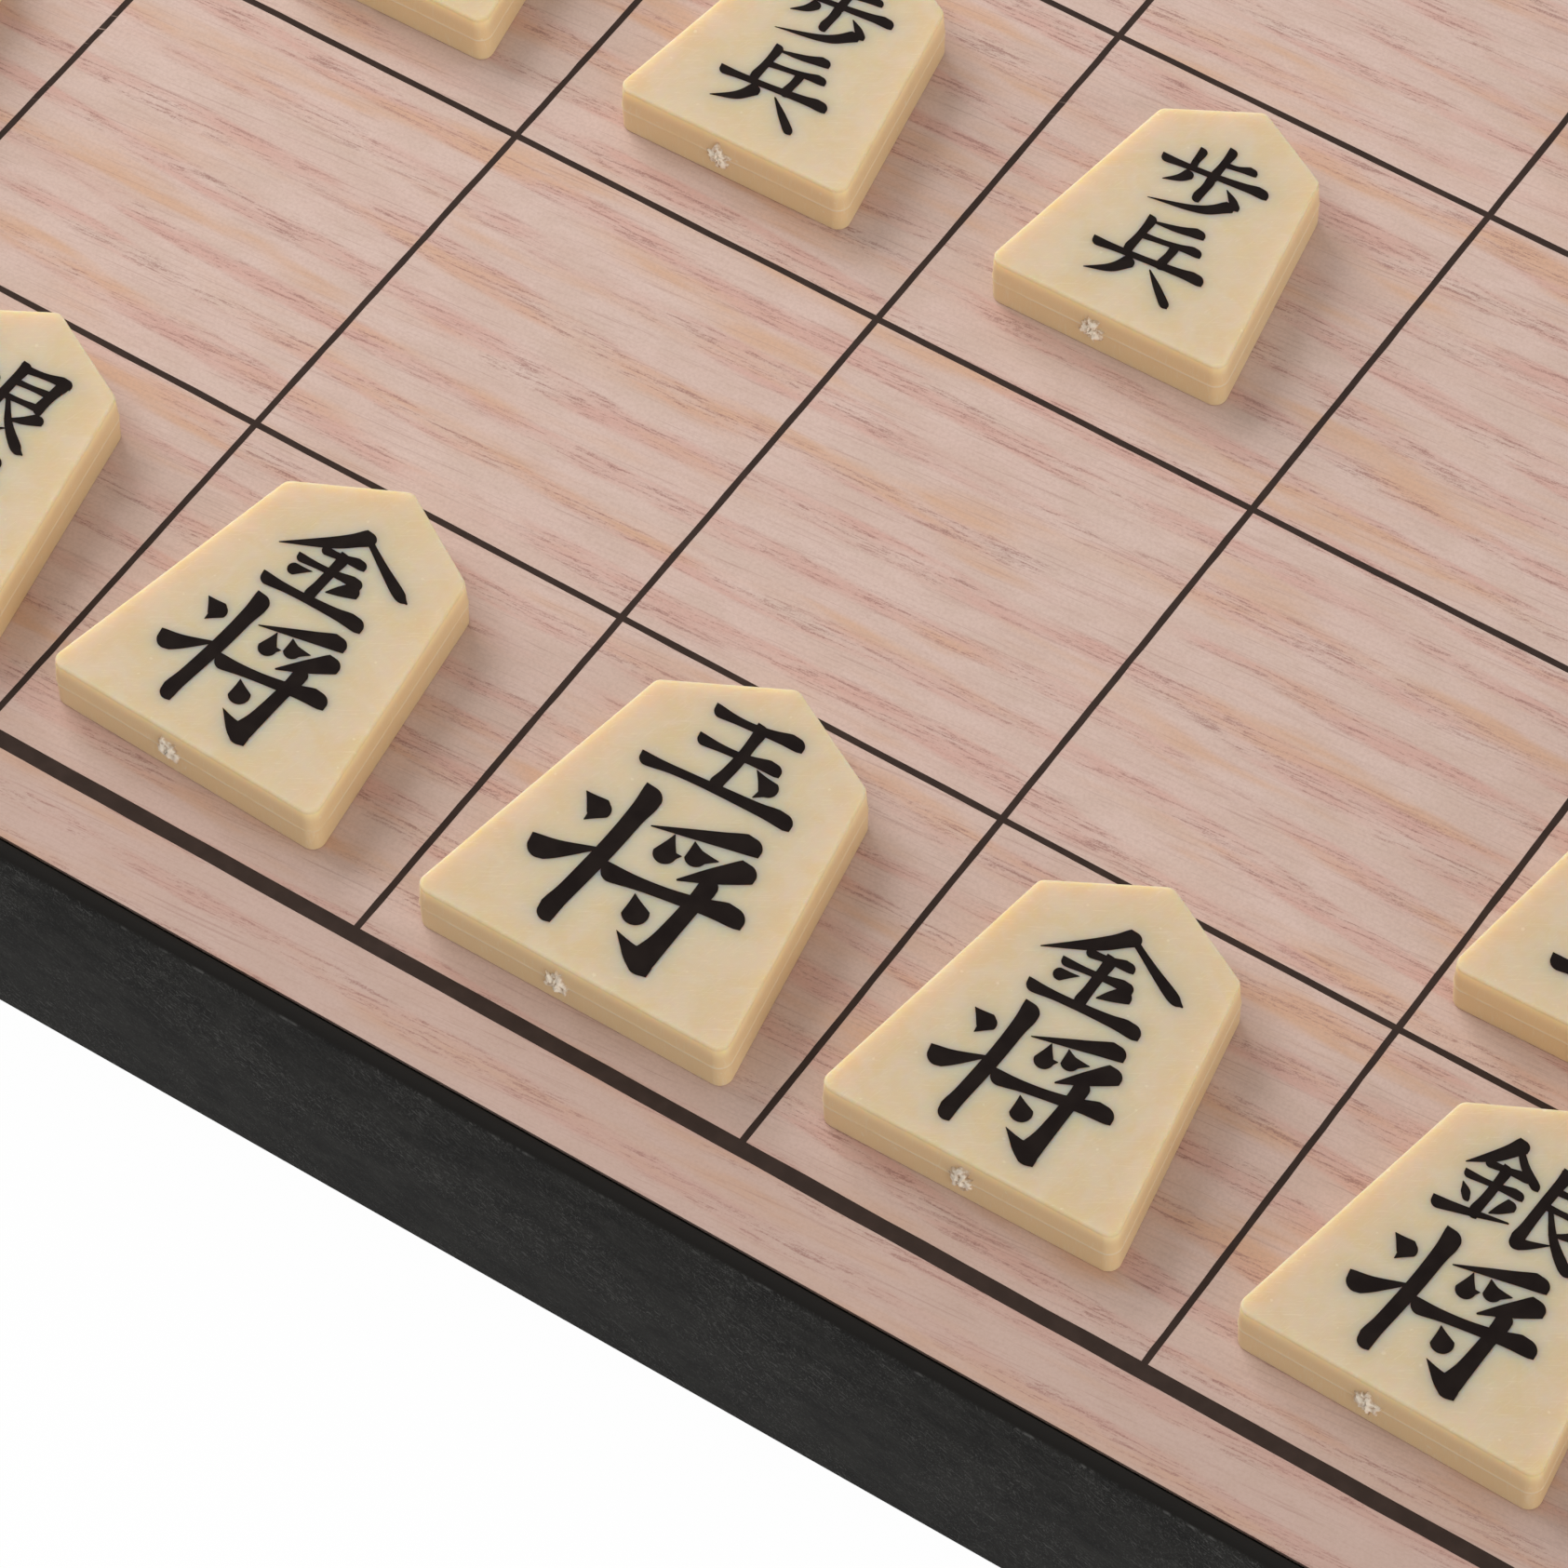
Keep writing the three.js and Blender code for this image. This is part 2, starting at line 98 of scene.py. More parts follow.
class Shader:
    """A node material under construction, with short calls for the nodes that the finishes share."""

    def __init__(self, name: str) -> None:
        """Start a material that holds one shader and its output.

        Args:
            name: Name of the material.
        """
        self.material = bpy.data.materials.new(name)
        self.material.use_nodes = True
        self.tree = self.material.node_tree
        self.surface = self.tree.nodes["Principled BSDF"]
        self.places = self.tree.nodes.new("ShaderNodeTexCoord").outputs["Object"]

    def node(self, kind: str, inputs: dict[str | int, object], **settings: object) -> bpy.types.Node:
        """Add a node, set its properties and link or set its inputs.

        Args:
            kind: Blender's name for the kind of node.
            inputs: Value or socket for each input, by its name or number.
            settings: Value for each property of the node itself.

        Returns:
            The new node.
        """
        made = self.tree.nodes.new(kind)
        for key, value in settings.items():
            setattr(made, key, value)
        for key, value in inputs.items():
            self.feed(made.inputs[key], value)
        return made

    def feed(self, socket: Socket, value: object) -> None:
        """Link a socket to another node's output, or set its own value.

        Args:
            socket: The input to feed.
            value: Another node's output or a plain value.
        """
        if isinstance(value, Socket):
            self.tree.links.new(value, socket)
        else:
            socket.default_value = value

    def math(self, operation: str, first: object, second: object = 0.0, third: object = 0.0) -> Socket:
        """Combine two or three numbers and return the result's socket."""
        values = {0: first, 1: second, 2: third}
        return self.node("ShaderNodeMath", values, operation=operation).outputs[0]

    def times(self, first: object, second: object) -> Socket:
        """Multiply two numbers."""
        return self.math("MULTIPLY", first, second)

    def sway(self, noise: Socket, reach: float, onto: Socket) -> Socket:
        """Add to a number how far a noise lies from its middle, times a reach."""
        return self.math("MULTIPLY_ADD", self.math("SUBTRACT", noise, 0.5), reach, onto)

    def turned(self, scale: Point3, turn: Point3, shift: Point3) -> Socket:
        """Stretch and turn the object's own coordinates.

        Args:
            scale: Repeats per metre along each turned axis.
            turn: Turn of the pattern in degrees about X, Y and Z.
            shift: Shift of the pattern in metres, before it is stretched.

        Returns:
            The socket with the new coordinates.
        """
        values = {
            "Vector": self.places,
            "Location": shift,
            "Rotation": [math.radians(a) for a in turn],
            "Scale": [1 / s for s in scale],
        }
        return self.node("ShaderNodeMapping", values, vector_type="TEXTURE").outputs[0]

    def cloud(
        self,
        scale: Point3,
        turn: Point3 = (0, 0, 0),
        shift: Point3 = (0, 0, 0),
        detail: float = 2.0,
        rough: float = 0.5,
        bend: float = 0.0,
    ) -> Socket:
        """Cloudy noise over the object's own coordinates.

        Args:
            scale: Clouds per metre along each turned axis.
            turn: Turn of the clouds in degrees about X, Y and Z.
            shift: Shift of the clouds in metres, before they are stretched.
            detail: Number of finer layers on top of the first.
            rough: How strong the finer layers are.
            bend: How much the clouds are distorted.

        Returns:
            The socket with a number from 0 to 1.
        """
        places = self.turned(scale, turn, shift)
        values = {"Vector": places, "Scale": 1.0, "Detail": detail, "Roughness": rough, "Distortion": bend}
        return self.node("ShaderNodeTexNoise", values).outputs[0]

    def step(self, value: object, low: float, high: float, start: float = 0.0, end: float = 1.0) -> Socket:
        """Ease from start to end while the value goes from low to high."""
        values = {"Value": value, "From Min": low, "From Max": high, "To Min": start, "To Max": end}
        return self.node("ShaderNodeMapRange", values, interpolation_type="SMOOTHSTEP").outputs[0]

    def mix(self, share: object, first: object, second: object) -> Socket:
        """Blend two colours; a share of 0 gives the first and 1 the second."""
        return self.node("ShaderNodeMix", {0: share, 6: first, 7: second}, data_type="RGBA").outputs[2]

    def axis(self, name: str) -> Socket:
        """One of the object's own coordinates in metres."""
        return self.node("ShaderNodeSeparateXYZ", {0: self.places}).outputs[name]

    def painted(self, name: str) -> Socket:
        """A number that the mesh carries at its vertices."""
        return self.node("ShaderNodeAttribute", {}, attribute_name=name).outputs["Fac"]

    def bump(self, height: Socket, distance: float, strength: float) -> None:
        """Roughen the surface by a height from 0 to 1 that stands for a depth in metres."""
        values = {"Strength": strength, "Distance": distance, "Height": height}
        self.feed(self.surface.inputs["Normal"], self.node("ShaderNodeBump", values).outputs[0])

    def set(self, **values: object) -> None:
        """Set or link inputs of the surface shader; an underscore stands for a blank."""
        for key, value in values.items():
            self.feed(self.surface.inputs[key.replace("_", " ")], value)


@dataclass(frozen=True)
class Finish:
    """What every finish has: the record's slot that it belongs to."""

    slot: str

    def material(self) -> bpy.types.Material:
        """Build the finish's node material."""
        raise NotImplementedError


@dataclass(frozen=True)
class PrintedFilm(Finish):
    """Satin film with a printed wood grain that runs along the ranks."""

    slot: str = "printed_film"
    pale: Rgba = srgb(215, 189, 177)
    dull: Rgba = srgb(205, 179, 164)
    pink: Rgba = srgb(208, 167, 154)
    warm: Rgba = srgb(210, 169, 140)
    vein: Rgba = srgb(148, 105, 97)
    grit: Rgba = srgb(176, 146, 132)
    band_pitch: float = 3.5 * MM
    band_slope: float = -1.8  # degrees by which the bands fall to the right
    vein_length: float = 3.8 * MM
    vein_thickness: float = 0.21 * MM
    vein_rise: float = 3.2  # degrees by which a vein climbs through its band
    dash_length: float = 0.45 * MM
    dash_thickness: float = 0.12 * MM
    thread_length: float = 8.0 * MM
    thread_thickness: float = 0.16 * MM
    margin_start: float = 114 * MM
    margin_end: float = 119 * MM
    vein_share: float = 0.8
    thread_share: float = 0.45
    pink_share: float = 0.95
    warm_share: float = 0.85
    margin_shade_share: float = 0.42
    grit_share: float = 0.22
    relief: float = 0.004 * MM

    def material(self) -> bpy.types.Material:
        """Veins made of short dashes over a mottled ground, which blushes where the bands are.

        Returns:
            The material of the sheets.
        """
        shader = Shader("printed_wood_grain")
        dots = shader.cloud((9000, 9000, 1), rough=0.6)
        band = self.bands(shader)
        dark = shader.times(self.veins(shader, band, dots), shader.step(dots, 0.3, 0.6, 0.6, 1.0))
        printed = shader.mix(shader.times(dark, self.vein_share), self.ground(shader, band), self.vein)
        grit = shader.cloud((4600, 4600, 1), rough=0.65)
        shader.set(
            Base_Color=shader.mix(shader.step(grit, 0.35, 0.7, 0.0, self.grit_share), printed, self.grit),
            Roughness=shader.step(grit, 0.2, 0.8, 0.42, 0.54),
            Specular_IOR_Level=0.3,
        )
        shader.bump(grit, self.relief, 0.5)
        return shader.material

    def bands(self, shader: Shader) -> Socket:
        """A wandering wave across the grain, stronger in some stretches than in others.

        Args:
            shader: The material under construction.

        Returns:
            The socket that goes from 0 between bands to 1 in a strong one.
        """
        drift = shader.cloud((15, 70, 1), turn=(0, 0, -1.5))
        wander = shader.times(shader.math("SUBTRACT", drift, 0.5), 2.5)
        slanted = shader.turned((1, 1, 1), (0, 0, self.band_slope), (0, 0, 0))
        across = shader.node("ShaderNodeSeparateXYZ", {0: slanted}).outputs["Y"]
        turns = shader.math("DIVIDE", across, self.band_pitch)
        phase = shader.times(shader.math("ADD", turns, wander), 2 * math.pi)
        wave = shader.math("MULTIPLY_ADD", shader.math("SINE", phase), 0.5, 0.5)
        strength = shader.cloud((60, 230, 1), shift=(0.4, 0, 0))
        return shader.times(shader.step(wave, 0.3, 1.0), shader.step(strength, 0.3, 0.6, 0.2, 1.0))

    def veins(self, shader: Shader, band: object, dots: object) -> Socket:
        """Long thin noise roughened by dashes and dots, and a few threads between the bands.

        Args:
            shader: The material under construction.
            band: Where the bands are.
            dots: Fine speckle of the printing.

        Returns:
            The socket that goes from 0 on bare ground to 1 in the middle of a vein.
        """
        lengths = (1 / self.vein_length, 1 / self.vein_thickness, 1)
        veins = shader.cloud(lengths, turn=(0, 0, self.vein_rise), detail=3.0, rough=0.55, bend=0.8)
        dash = (1 / self.dash_length, 1 / self.dash_thickness, 1)
        dashes = shader.cloud(dash, turn=(0, 0, 11), detail=1.0)
        ragged = shader.sway(dots, 0.24, shader.sway(dashes, 0.34, veins))
        lines = shader.times(shader.step(ragged, 0.475, 0.73), shader.step(band, 0.05, 0.7, 0.2, 1.0))
        thread = (1 / self.thread_length, 1 / self.thread_thickness, 1)
        threads = shader.cloud(thread, turn=(0, 0, 4.6), shift=(0.02, 0.013, 0), detail=1.0, bend=0.6)
        threads = shader.times(shader.step(threads, 0.6, 0.76), self.thread_share)
        return shader.math("MAXIMUM", lines, threads)

    def ground(self, shader: Shader, band: object) -> Socket:
        """Pale and dull patches, pink round the bands, with a few warm clouds and painted shade along the
        outer margin.

        Args:
            shader: The material under construction.
            band: Where the bands are.

        Returns:
            The socket with the colour.
        """
        blush = shader.cloud((90, 520, 1), turn=(0, 0, 2), shift=(0, 0.3, 0), detail=3.0, rough=0.6)
        pinkness = shader.times(shader.step(band, 0.0, 0.6, 0.15, 1.0), shader.step(blush, 0.3, 0.66))
        clouds = shader.cloud((52, 400, 1), shift=(0.2, 0.7, 0))
        warmth = shader.times(shader.step(clouds, 0.5, 0.68), shader.step(blush, 0.38, 0.6, 0.3, 1.0))
        mottle = shader.cloud((210, 420, 1), shift=(0.11, 0.3, 0), detail=3.0, rough=0.6)
        ground = shader.mix(shader.step(mottle, 0.35, 0.65, 0.0, 0.65), self.pale, self.dull)
        ground = shader.mix(shader.times(pinkness, self.pink_share), ground, self.pink)
        ground = shader.mix(shader.times(warmth, self.warm_share), ground, self.warm)
        # Painted shade along the outer margin of the sheet, towards the rim.
        outward = shader.math("ABSOLUTE", shader.axis("Y"))
        margin = shader.step(outward, self.margin_start, self.margin_end, 0.0, self.margin_shade_share)
        return shader.mix(margin, ground, self.grit)


@dataclass(frozen=True)
class GridInk(Finish):
    """Near-black printing ink of the grid, with a faint brown cast and wisps worn away."""

    slot: str = "printed_film"
    ink: Rgba = srgb(54, 43, 38)
    thin: Rgba = srgb(73, 59, 53)
    worn: Rgba = srgb(160, 136, 124)

    def material(self) -> bpy.types.Material:
        """Ink that pales a little in patches, crossed by rare hair-thin scuffs.

        Returns:
            The material of the lines.
        """
        shader = Shader("grid_ink")
        patches = shader.cloud((900, 900, 1), detail=3.0)
        hairs = shader.cloud((260, 2600, 1), turn=(0, 0, 24), detail=1.0, bend=1.4)
        rare = shader.cloud((38, 38, 1), shift=(0.07, 0.02, 0), detail=0.0)
        scuff = shader.times(shader.step(hairs, 0.68, 0.74), shader.step(rare, 0.68, 0.74))
        body = shader.mix(shader.step(patches, 0.3, 0.8, 0.1, 0.5), self.ink, self.thin)
        shader.set(
            Base_Color=shader.mix(scuff, body, self.worn),
            Roughness=shader.step(patches, 0.2, 0.8, 0.42, 0.55),
            Specular_IOR_Level=0.05,
        )
        return shader.material


@dataclass(frozen=True)
class IvoryPlastic(Finish):
    """Satin ivory plastic, faintly mottled and scored with fine hairlines; painted shade round the marks, a
    painted highlight along the parting line, and painted light down the walls, paler under the face's edge
    and warmer below.
    """

    slot: str = "ivory_plastic"
    body: Rgba = srgb(217, 197, 168)
    cloud: Rgba = srgb(215, 192, 153)
    # Painted light on the walls: paler just under the face's edge, then warmer lower down.
    glow: Rgba = srgb(240, 219, 175)
    wall: Rgba = srgb(228, 199, 153)
    # Painted shade round the marks, where the ink keeps light from scattering through the plastic.
    shaded: Rgba = srgb(196, 183, 159)
    # Pale tone of the hairlines and specks, also used for the painted highlight along the parting line.
    brushed_and_highlit: Rgba = srgb(232, 217, 190)
    hair_length: float = 1.1 * MM
    hair_thickness: float = 0.07 * MM
    hair_share: float = 0.34
    seam_highlight_share: float = 0.8
    speck_share: float = 0.55
    ink_shade_share: float = 0.5
    light_depth: float = 3.0 * MM
    light_shares: Point3 = (1.0, 0.55, 0.24)  # of that depth, for red, green and blue
    relief: float = 0.01 * MM

    def material(self) -> bpy.types.Material:
        """Clouds of two creams, bent hairlines, a painted highlight along the parting line, painted light
        down the walls and painted shade round the marks.

        Returns:
            The material of the shells.
        """
        shader = Shader("ivory_plastic")
        clouds = shader.cloud((420, 420, 420), detail=3.0, rough=0.6, bend=0.8)
        lengths = (1 / self.hair_length, 1 / self.hair_thickness, 1 / self.hair_length)
        first = shader.cloud(lengths, turn=(0, 0, 33), detail=1.0, bend=1.1)
        second = shader.cloud(lengths, turn=(0, 0, 74), shift=(0.3, 0, 0), detail=1.0, bend=1.6)
        hairs = shader.math("MAXIMUM", shader.step(first, 0.6, 0.72), shader.step(second, 0.62, 0.74))
        specks = shader.step(shader.cloud((2400, 2400, 2400), shift=(0.1, 0, 0), detail=0.0), 0.81, 0.86)
        ground = shader.mix(shader.step(clouds, 0.32, 0.7), self.body, self.cloud)
        down = shader.painted("depth")
        # Painted light down the walls, by depth below the face; the face keeps its own clouds.
        walls = shader.mix(shader.step(down, 0.0, 0.32), self.glow, self.wall)
        sided = shader.mix(shader.step(down, 0.04, 0.1), ground, walls)
        from_middle = shader.math("ABSOLUTE", shader.math("SUBTRACT", down, 0.5))
        # Painted highlight along the parting line at mid height, broken up by the clouds.
        seam_highlight = shader.times(shader.step(from_middle, 0.006, 0.024, 1.0, 0.0), shader.step(clouds, 0.3, 0.5))
        # Pale hairlines and specks, together with the painted highlight of the parting line.
        pale = shader.times(hairs, self.hair_share)
        pale = shader.math("MAXIMUM", pale, shader.times(seam_highlight, self.seam_highlight_share))
        pale = shader.math("MAXIMUM", pale, shader.times(specks, self.speck_share))
        brushed_and_highlit = shader.mix(pale, sided, self.brushed_and_highlit)
        grains = shader.cloud((2600, 2600, 2600), detail=3.0)
        # Painted shade round the marks, fading with the distance from the ink.
        ink_shade = shader.times(shader.painted("ink_shade"), self.ink_shade_share)
        shader.set(
            Base_Color=shader.mix(ink_shade, brushed_and_highlit, self.shaded),
            Roughness=shader.math("MULTIPLY_ADD", hairs, 0.12, 0.38),
            Subsurface_Weight=shader.step(down, 0.02, 0.3, 0.9, 0.12),
            Subsurface_Radius=self.light_shares,
            Subsurface_Scale=self.light_depth,
            Specular_IOR_Level=0.36,
        )
        uneven = shader.math("ADD", shader.times(hairs, 0.35), shader.times(grains, 0.5))
        shader.bump(uneven, self.relief, 0.4)
        return shader.material


@dataclass(frozen=True)
class TornPlastic(Finish):
    """Whitened ivory plastic where a moulded piece was broken off its runner."""

    slot: str = "ivory_plastic"
    torn: Rgba = srgb(246, 234, 214)
    hollow_shade: Rgba = srgb(196, 168, 136)
    relief: float = 0.04 * MM

    def material(self) -> bpy.types.Material:
        """Pale where the mesh stands out, with painted shade in its hollows, rough all over.

        Returns:
            The material of the torn gates.
        """
        shader = Shader("torn_plastic")
        grains = shader.cloud((5200, 5200, 5200), detail=4.0, rough=0.7)
        raised = shader.sway(grains, 0.8, shader.painted("raised"))
        shader.set(
            # Painted shade in the gate's hollows; whitened torn plastic where it stands out.
            Base_Color=shader.mix(shader.step(raised, 0.0, 0.35), self.hollow_shade, self.torn),
            Roughness=shader.step(grains, 0.3, 0.7, 0.6, 0.8),
            Specular_IOR_Level=0.3,
        )
        shader.bump(grains, self.relief, 0.6)
        return shader.material


@dataclass(frozen=True)
class MarkInk(Finish):
    """Black pad-printed ink of the marks."""

    slot: str = "ivory_plastic"
    ink: Rgba = srgb(25, 18, 16)
    thin: Rgba = srgb(33, 26, 23)

    def material(self) -> bpy.types.Material:
        """Dense black with a soft unevenness in gloss.

        Returns:
            The material of the marks.
        """
        shader = Shader("mark_ink")
        clouds = shader.cloud((700, 700, 700), detail=3.0)
        shader.set(
            Base_Color=shader.mix(shader.step(clouds, 0.3, 0.7), self.ink, self.thin),
            Roughness=shader.step(clouds, 0.3, 0.7, 0.42, 0.54),
            Specular_IOR_Level=0.05,
        )
        return shader.material


@dataclass(frozen=True)
class BlackPlastic(Finish):
    """Black moulded plastic: smooth round the rim and textured, with fine pale fibres, on the walls."""

    slot: str = "black_plastic"
    wall: Rgba = srgb(46, 45, 43)
    deep: Rgba = srgb(33, 32, 31)
    rim: Rgba = srgb(30, 28, 26)
    fibre: Rgba = srgb(118, 117, 114)
    rim_level: float = 18.25 * MM
    rim_round: float = 0.5 * MM
    texture_rise: float = 0.3 * MM
    texture_fade: tuple[float, float] = (-0.16 * MM, 0.06 * MM)  # heights from the texture's edge
    glint_rise: tuple[float, float] = (-0.24 * MM, -0.14 * MM)
    glint_fall: tuple[float, float] = (-0.1 * MM, 0.0)
    relief: float = 0.035 * MM
    fibre_length: float = 0.8 * MM
    fibre_thickness: float = 0.09 * MM
    fibre_share: float = 0.4
    glint_share: float = 0.38
    fibre_layers: tuple[tuple[Point3, float], ...] = (
        ((8, 24, 5), 0.6),
        ((-30, -18, 40), 0.62),
        ((50, 62, -35), 0.63),
        ((20, -48, 80), 0.64),
    )

    def material(self) -> bpy.types.Material:
        """Short fibres in four directions over a mottled ground, fading out above the edge round.

        Returns:
            The material of the case halves.
        """
        shader = Shader("black_moulded_plastic")
        grain = shader.cloud((3400, 3400, 3400), detail=4.0, rough=0.65)
        clouds = shader.cloud((420, 420, 900), detail=4.0, rough=0.6)
        patches = shader.cloud((180, 180, 260), detail=1.0)
        fibres = None
        long, thin = 1 / self.fibre_length, 1 / self.fibre_thickness
        for turn, cut in self.fibre_layers:
            layer = shader.cloud((long, thin, thin), turn=turn, detail=1.0, bend=0.5)
            shown = shader.step(layer, cut, cut + 0.12)
            fibres = shown if fibres is None else shader.math("MAXIMUM", fibres, shown)
        fibres = shader.times(fibres, shader.step(patches, 0.35, 0.65, 0.35, 1.0))
        level = shader.axis("Z")
        edge = self.rim_level - self.rim_round + self.texture_rise
        textured = shader.step(level, *(edge + rise for rise in self.texture_fade), 1.0, 0.0)
        below = shader.step(level, *(edge + rise for rise in self.glint_rise))
        above = shader.step(level, *(edge + rise for rise in self.glint_fall), 1.0, 0.0)
        dashes = shader.step(shader.cloud((900, 900, 1), detail=3.0), 0.55, 0.68)
        glint = shader.times(shader.times(below, above), dashes)
        ground = shader.mix(shader.step(clouds, 0.3, 0.7), self.deep, self.wall)
        flecked = shader.mix(shader.times(fibres, self.fibre_share), ground, self.fibre)
        coloured = shader.mix(textured, self.rim, flecked)
        shader.set(
            Base_Color=shader.mix(shader.times(glint, self.glint_share), coloured, self.fibre),
            Roughness=shader.step(textured, 0.0, 1.0, 0.6, 0.82),
            Specular_IOR_Level=0.08,
        )
        rough = shader.times(shader.math("ADD", grain, shader.times(fibres, 0.5)), textured)
        shader.bump(rough, self.relief, 0.7)
        return shader.material


@dataclass(frozen=True)
class Rubber(Finish):
    """Matt black rubber with a little dust."""

    slot: str = "rubber"
    ground: Rgba = srgb(36, 35, 34)
    dust: Rgba = srgb(82, 80, 76)
    relief: float = 0.02 * MM

    def material(self) -> bpy.types.Material:
        """Dark ground with pale dust in patches.

        Returns:
            The material of the feet.
        """
        shader = Shader("rubber")
        dust = shader.cloud((600, 600, 600), detail=5.0, rough=0.7)
        shader.set(
            Base_Color=shader.mix(shader.step(dust, 0.5, 0.75, 0.0, 0.5), self.ground, self.dust),
            Roughness=shader.step(dust, 0.3, 0.7, 0.82, 0.95),
        )
        shader.bump(dust, self.relief, 0.6)
        return shader.material


@dataclass(frozen=True)
class Metal(Finish):
    """Bright metal with drawn or rolled lines along one axis, or an even grain where it is plated."""

    slot: str = "steel"
    name: str = "drawn_steel"
    light: Rgba = srgb(186, 186, 184)
    dark: Rgba = srgb(150, 149, 146)
    roughness: float = 0.3
    lines: Point3 = (60, 9000, 9000)
    relief: float = 0.003 * MM

    def material(self) -> bpy.types.Material:
        """Fine lines that vary both colour and gloss.

        Returns:
            The material of the plates and pins, or of the magnets.
        """
        shader = Shader(self.name)
        streaks = shader.cloud(self.lines)
        stains = shader.cloud((300, 300, 300), detail=4.0)
        shader.set(
            Base_Color=shader.mix(shader.step(stains, 0.35, 0.7), self.light, self.dark),
            Metallic=1.0,
            Roughness=shader.step(streaks, 0.3, 0.7, self.roughness - 0.06, self.roughness + 0.1),
        )
        shader.bump(streaks, self.relief, 0.4)
        return shader.material


def make_piece(
    name: str,
    points: np.ndarray,
    faces: Sequence[Sequence[int]] | np.ndarray,
    material: bpy.types.Material,
    body: str,
    sharp_above: float = SOLID_SHARP_ABOVE,
) -> bpy.types.Object:
    """Turn points and faces into a finished piece that rides on a body.

    Args:
        name: Name of the piece.
        points: Places in millimetres, one row each.
        faces: Rows of point numbers.
        material: The finish.
        body: The body that the piece moves with.
        sharp_above: Angle in degrees above which an edge stays sharp.

    Returns:
        The new object, at the origin, with its place in its mesh.
    """
    mesh = bpy.data.meshes.new(name)
    rows = faces.tolist() if isinstance(faces, np.ndarray) else faces
    mesh.from_pydata((points * MM).tolist(), [], rows)
    mesh.validate()
    mesh.materials.append(material)
    piece = bpy.data.objects.new(name, mesh)
    bpy.context.scene.collection.objects.link(piece)
    smooth(piece, sharp_above)
    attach(piece, body)
    return piece


def smooth(piece: bpy.types.Object, sharp_above: float) -> None:
    """Shade a mesh smoothly but for edges that bend more than an angle in degrees."""
    piece.data.shade_smooth()
    piece.data.set_sharp_from_angle(angle=math.radians(sharp_above))


def merge_doubles(mesh: bpy.types.Mesh, reach: float = 0.0003 * MM) -> None:
    """Join points of a mesh that lie closer together than a reach in metres.

    Args:
        mesh: The mesh to clean.
        reach: The distance below which two points become one.
    """
    made = bmesh.new()
    made.from_mesh(mesh)
    bmesh.ops.remove_doubles(made, verts=made.verts, dist=reach)
    made.to_mesh(mesh)
    made.free()


def paint(piece: bpy.types.Object, name: str, values: np.ndarray) -> None:
    """Store a number at each point of a piece, for its finish to read."""
    layer = piece.data.attributes.new(name, "FLOAT", "POINT")
    layer.data.foreach_set("value", values.astype(np.float32))


def box_of(node: str) -> list[np.ndarray]:
    """Lowest and highest corner of a node in millimetres."""
    return [np.array(corner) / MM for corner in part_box(node)]


def grid_faces(rows: int, columns: int, closed: bool) -> np.ndarray:
    """Four-sided faces of a grid of points stored row by row.

    Args:
        rows: Number of rows of points.
        columns: Number of points in a row.
        closed: Whether the last column joins the first.

    Returns:
        One row of four point numbers for each face.
    """
    i, j = np.meshgrid(np.arange(rows - 1), np.arange(columns if closed else columns - 1), indexing="ij")
    following = (j + 1) % columns
    faces = [i * columns + j, i * columns + following, (i + 1) * columns + following, (i + 1) * columns + j]
    return np.stack(faces, -1).reshape(-1, 4)


def film_between(left: np.ndarray, right: np.ndarray, bottom: float, top: float) -> np.ndarray:
    """Raise a thin film between two edges.

    Args:
        left: Its left edge, one row of x and y for each point.
        right: Its right edge, as many points.
        bottom: Level of its lower face.
        top: Level of its upper face.

    Returns:
        Rows of four points across the film: two in the middle for its upper face, the others below.
    """
    rows = ((left, bottom), (left, top), (right, top), (right, bottom))
    return np.stack([np.column_stack([xy, np.full(len(xy), z)]) for xy, z in rows], 1).reshape(-1, 3)


@dataclass(frozen=True)
class Turned:
    """A round part: a profile of radii and heights turned about an axis."""

    profile: tuple[tuple[float, float], ...]
    sides: int = 48

    def mesh(self, centre: Point3, along_x: bool = False) -> tuple[np.ndarray, Faces]:
        """Turn the profile: the radius times the cosine and sine of the angle, at the profile's height.

        Args:
            centre: Where the axis starts, in millimetres.
            along_x: Whether the axis lies along X instead of Z.

        Returns:
            The points and the faces of the closed surface.
        """
        radii, heights = np.array(self.profile).T
        angles = np.linspace(0, 2 * np.pi, self.sides, endpoint=False)
        x = radii[:, None] * np.cos(angles)
        y = radii[:, None] * np.sin(angles)
        z = np.repeat(heights[:, None], self.sides, 1)
        ordered = (z, x, y) if along_x else (x, y, z)
        points = np.stack(ordered, -1).reshape(-1, 3) + np.array(centre)
        faces = grid_faces(len(radii), self.sides, True).tolist()
        last = (len(radii) - 1) * self.sides
        faces.append(list(range(self.sides))[::-1])
        faces.append(list(range(last, last + self.sides)))
        return points, faces


class PieceKind(Enum):
    """The eight kinds of piece: width and height in millimetres, and the two signs of its mark."""

    KING = (21.0, 22.95, "jewel", "general")
    ROOK = (20.1, 22.3, "flying", "chariot")
    BISHOP = (20.1, 22.3, "angle", "going")
    GOLD = (19.2, 21.6, "gold", "general")
    SILVER = (19.2, 21.6, "silver", "general")
    KNIGHT = (18.2, 20.7, "laurel", "horse")
    LANCE = (17.0, 19.7, "incense", "chariot")
    PAWN = (16.2, 18.4, "walking", "soldier")

    @property
    def width(self) -> float:
        """Width of the butt."""
        return self.value[0]

    @property
    def height(self) -> float:
        """Length from the butt to the point."""
        return self.value[1]


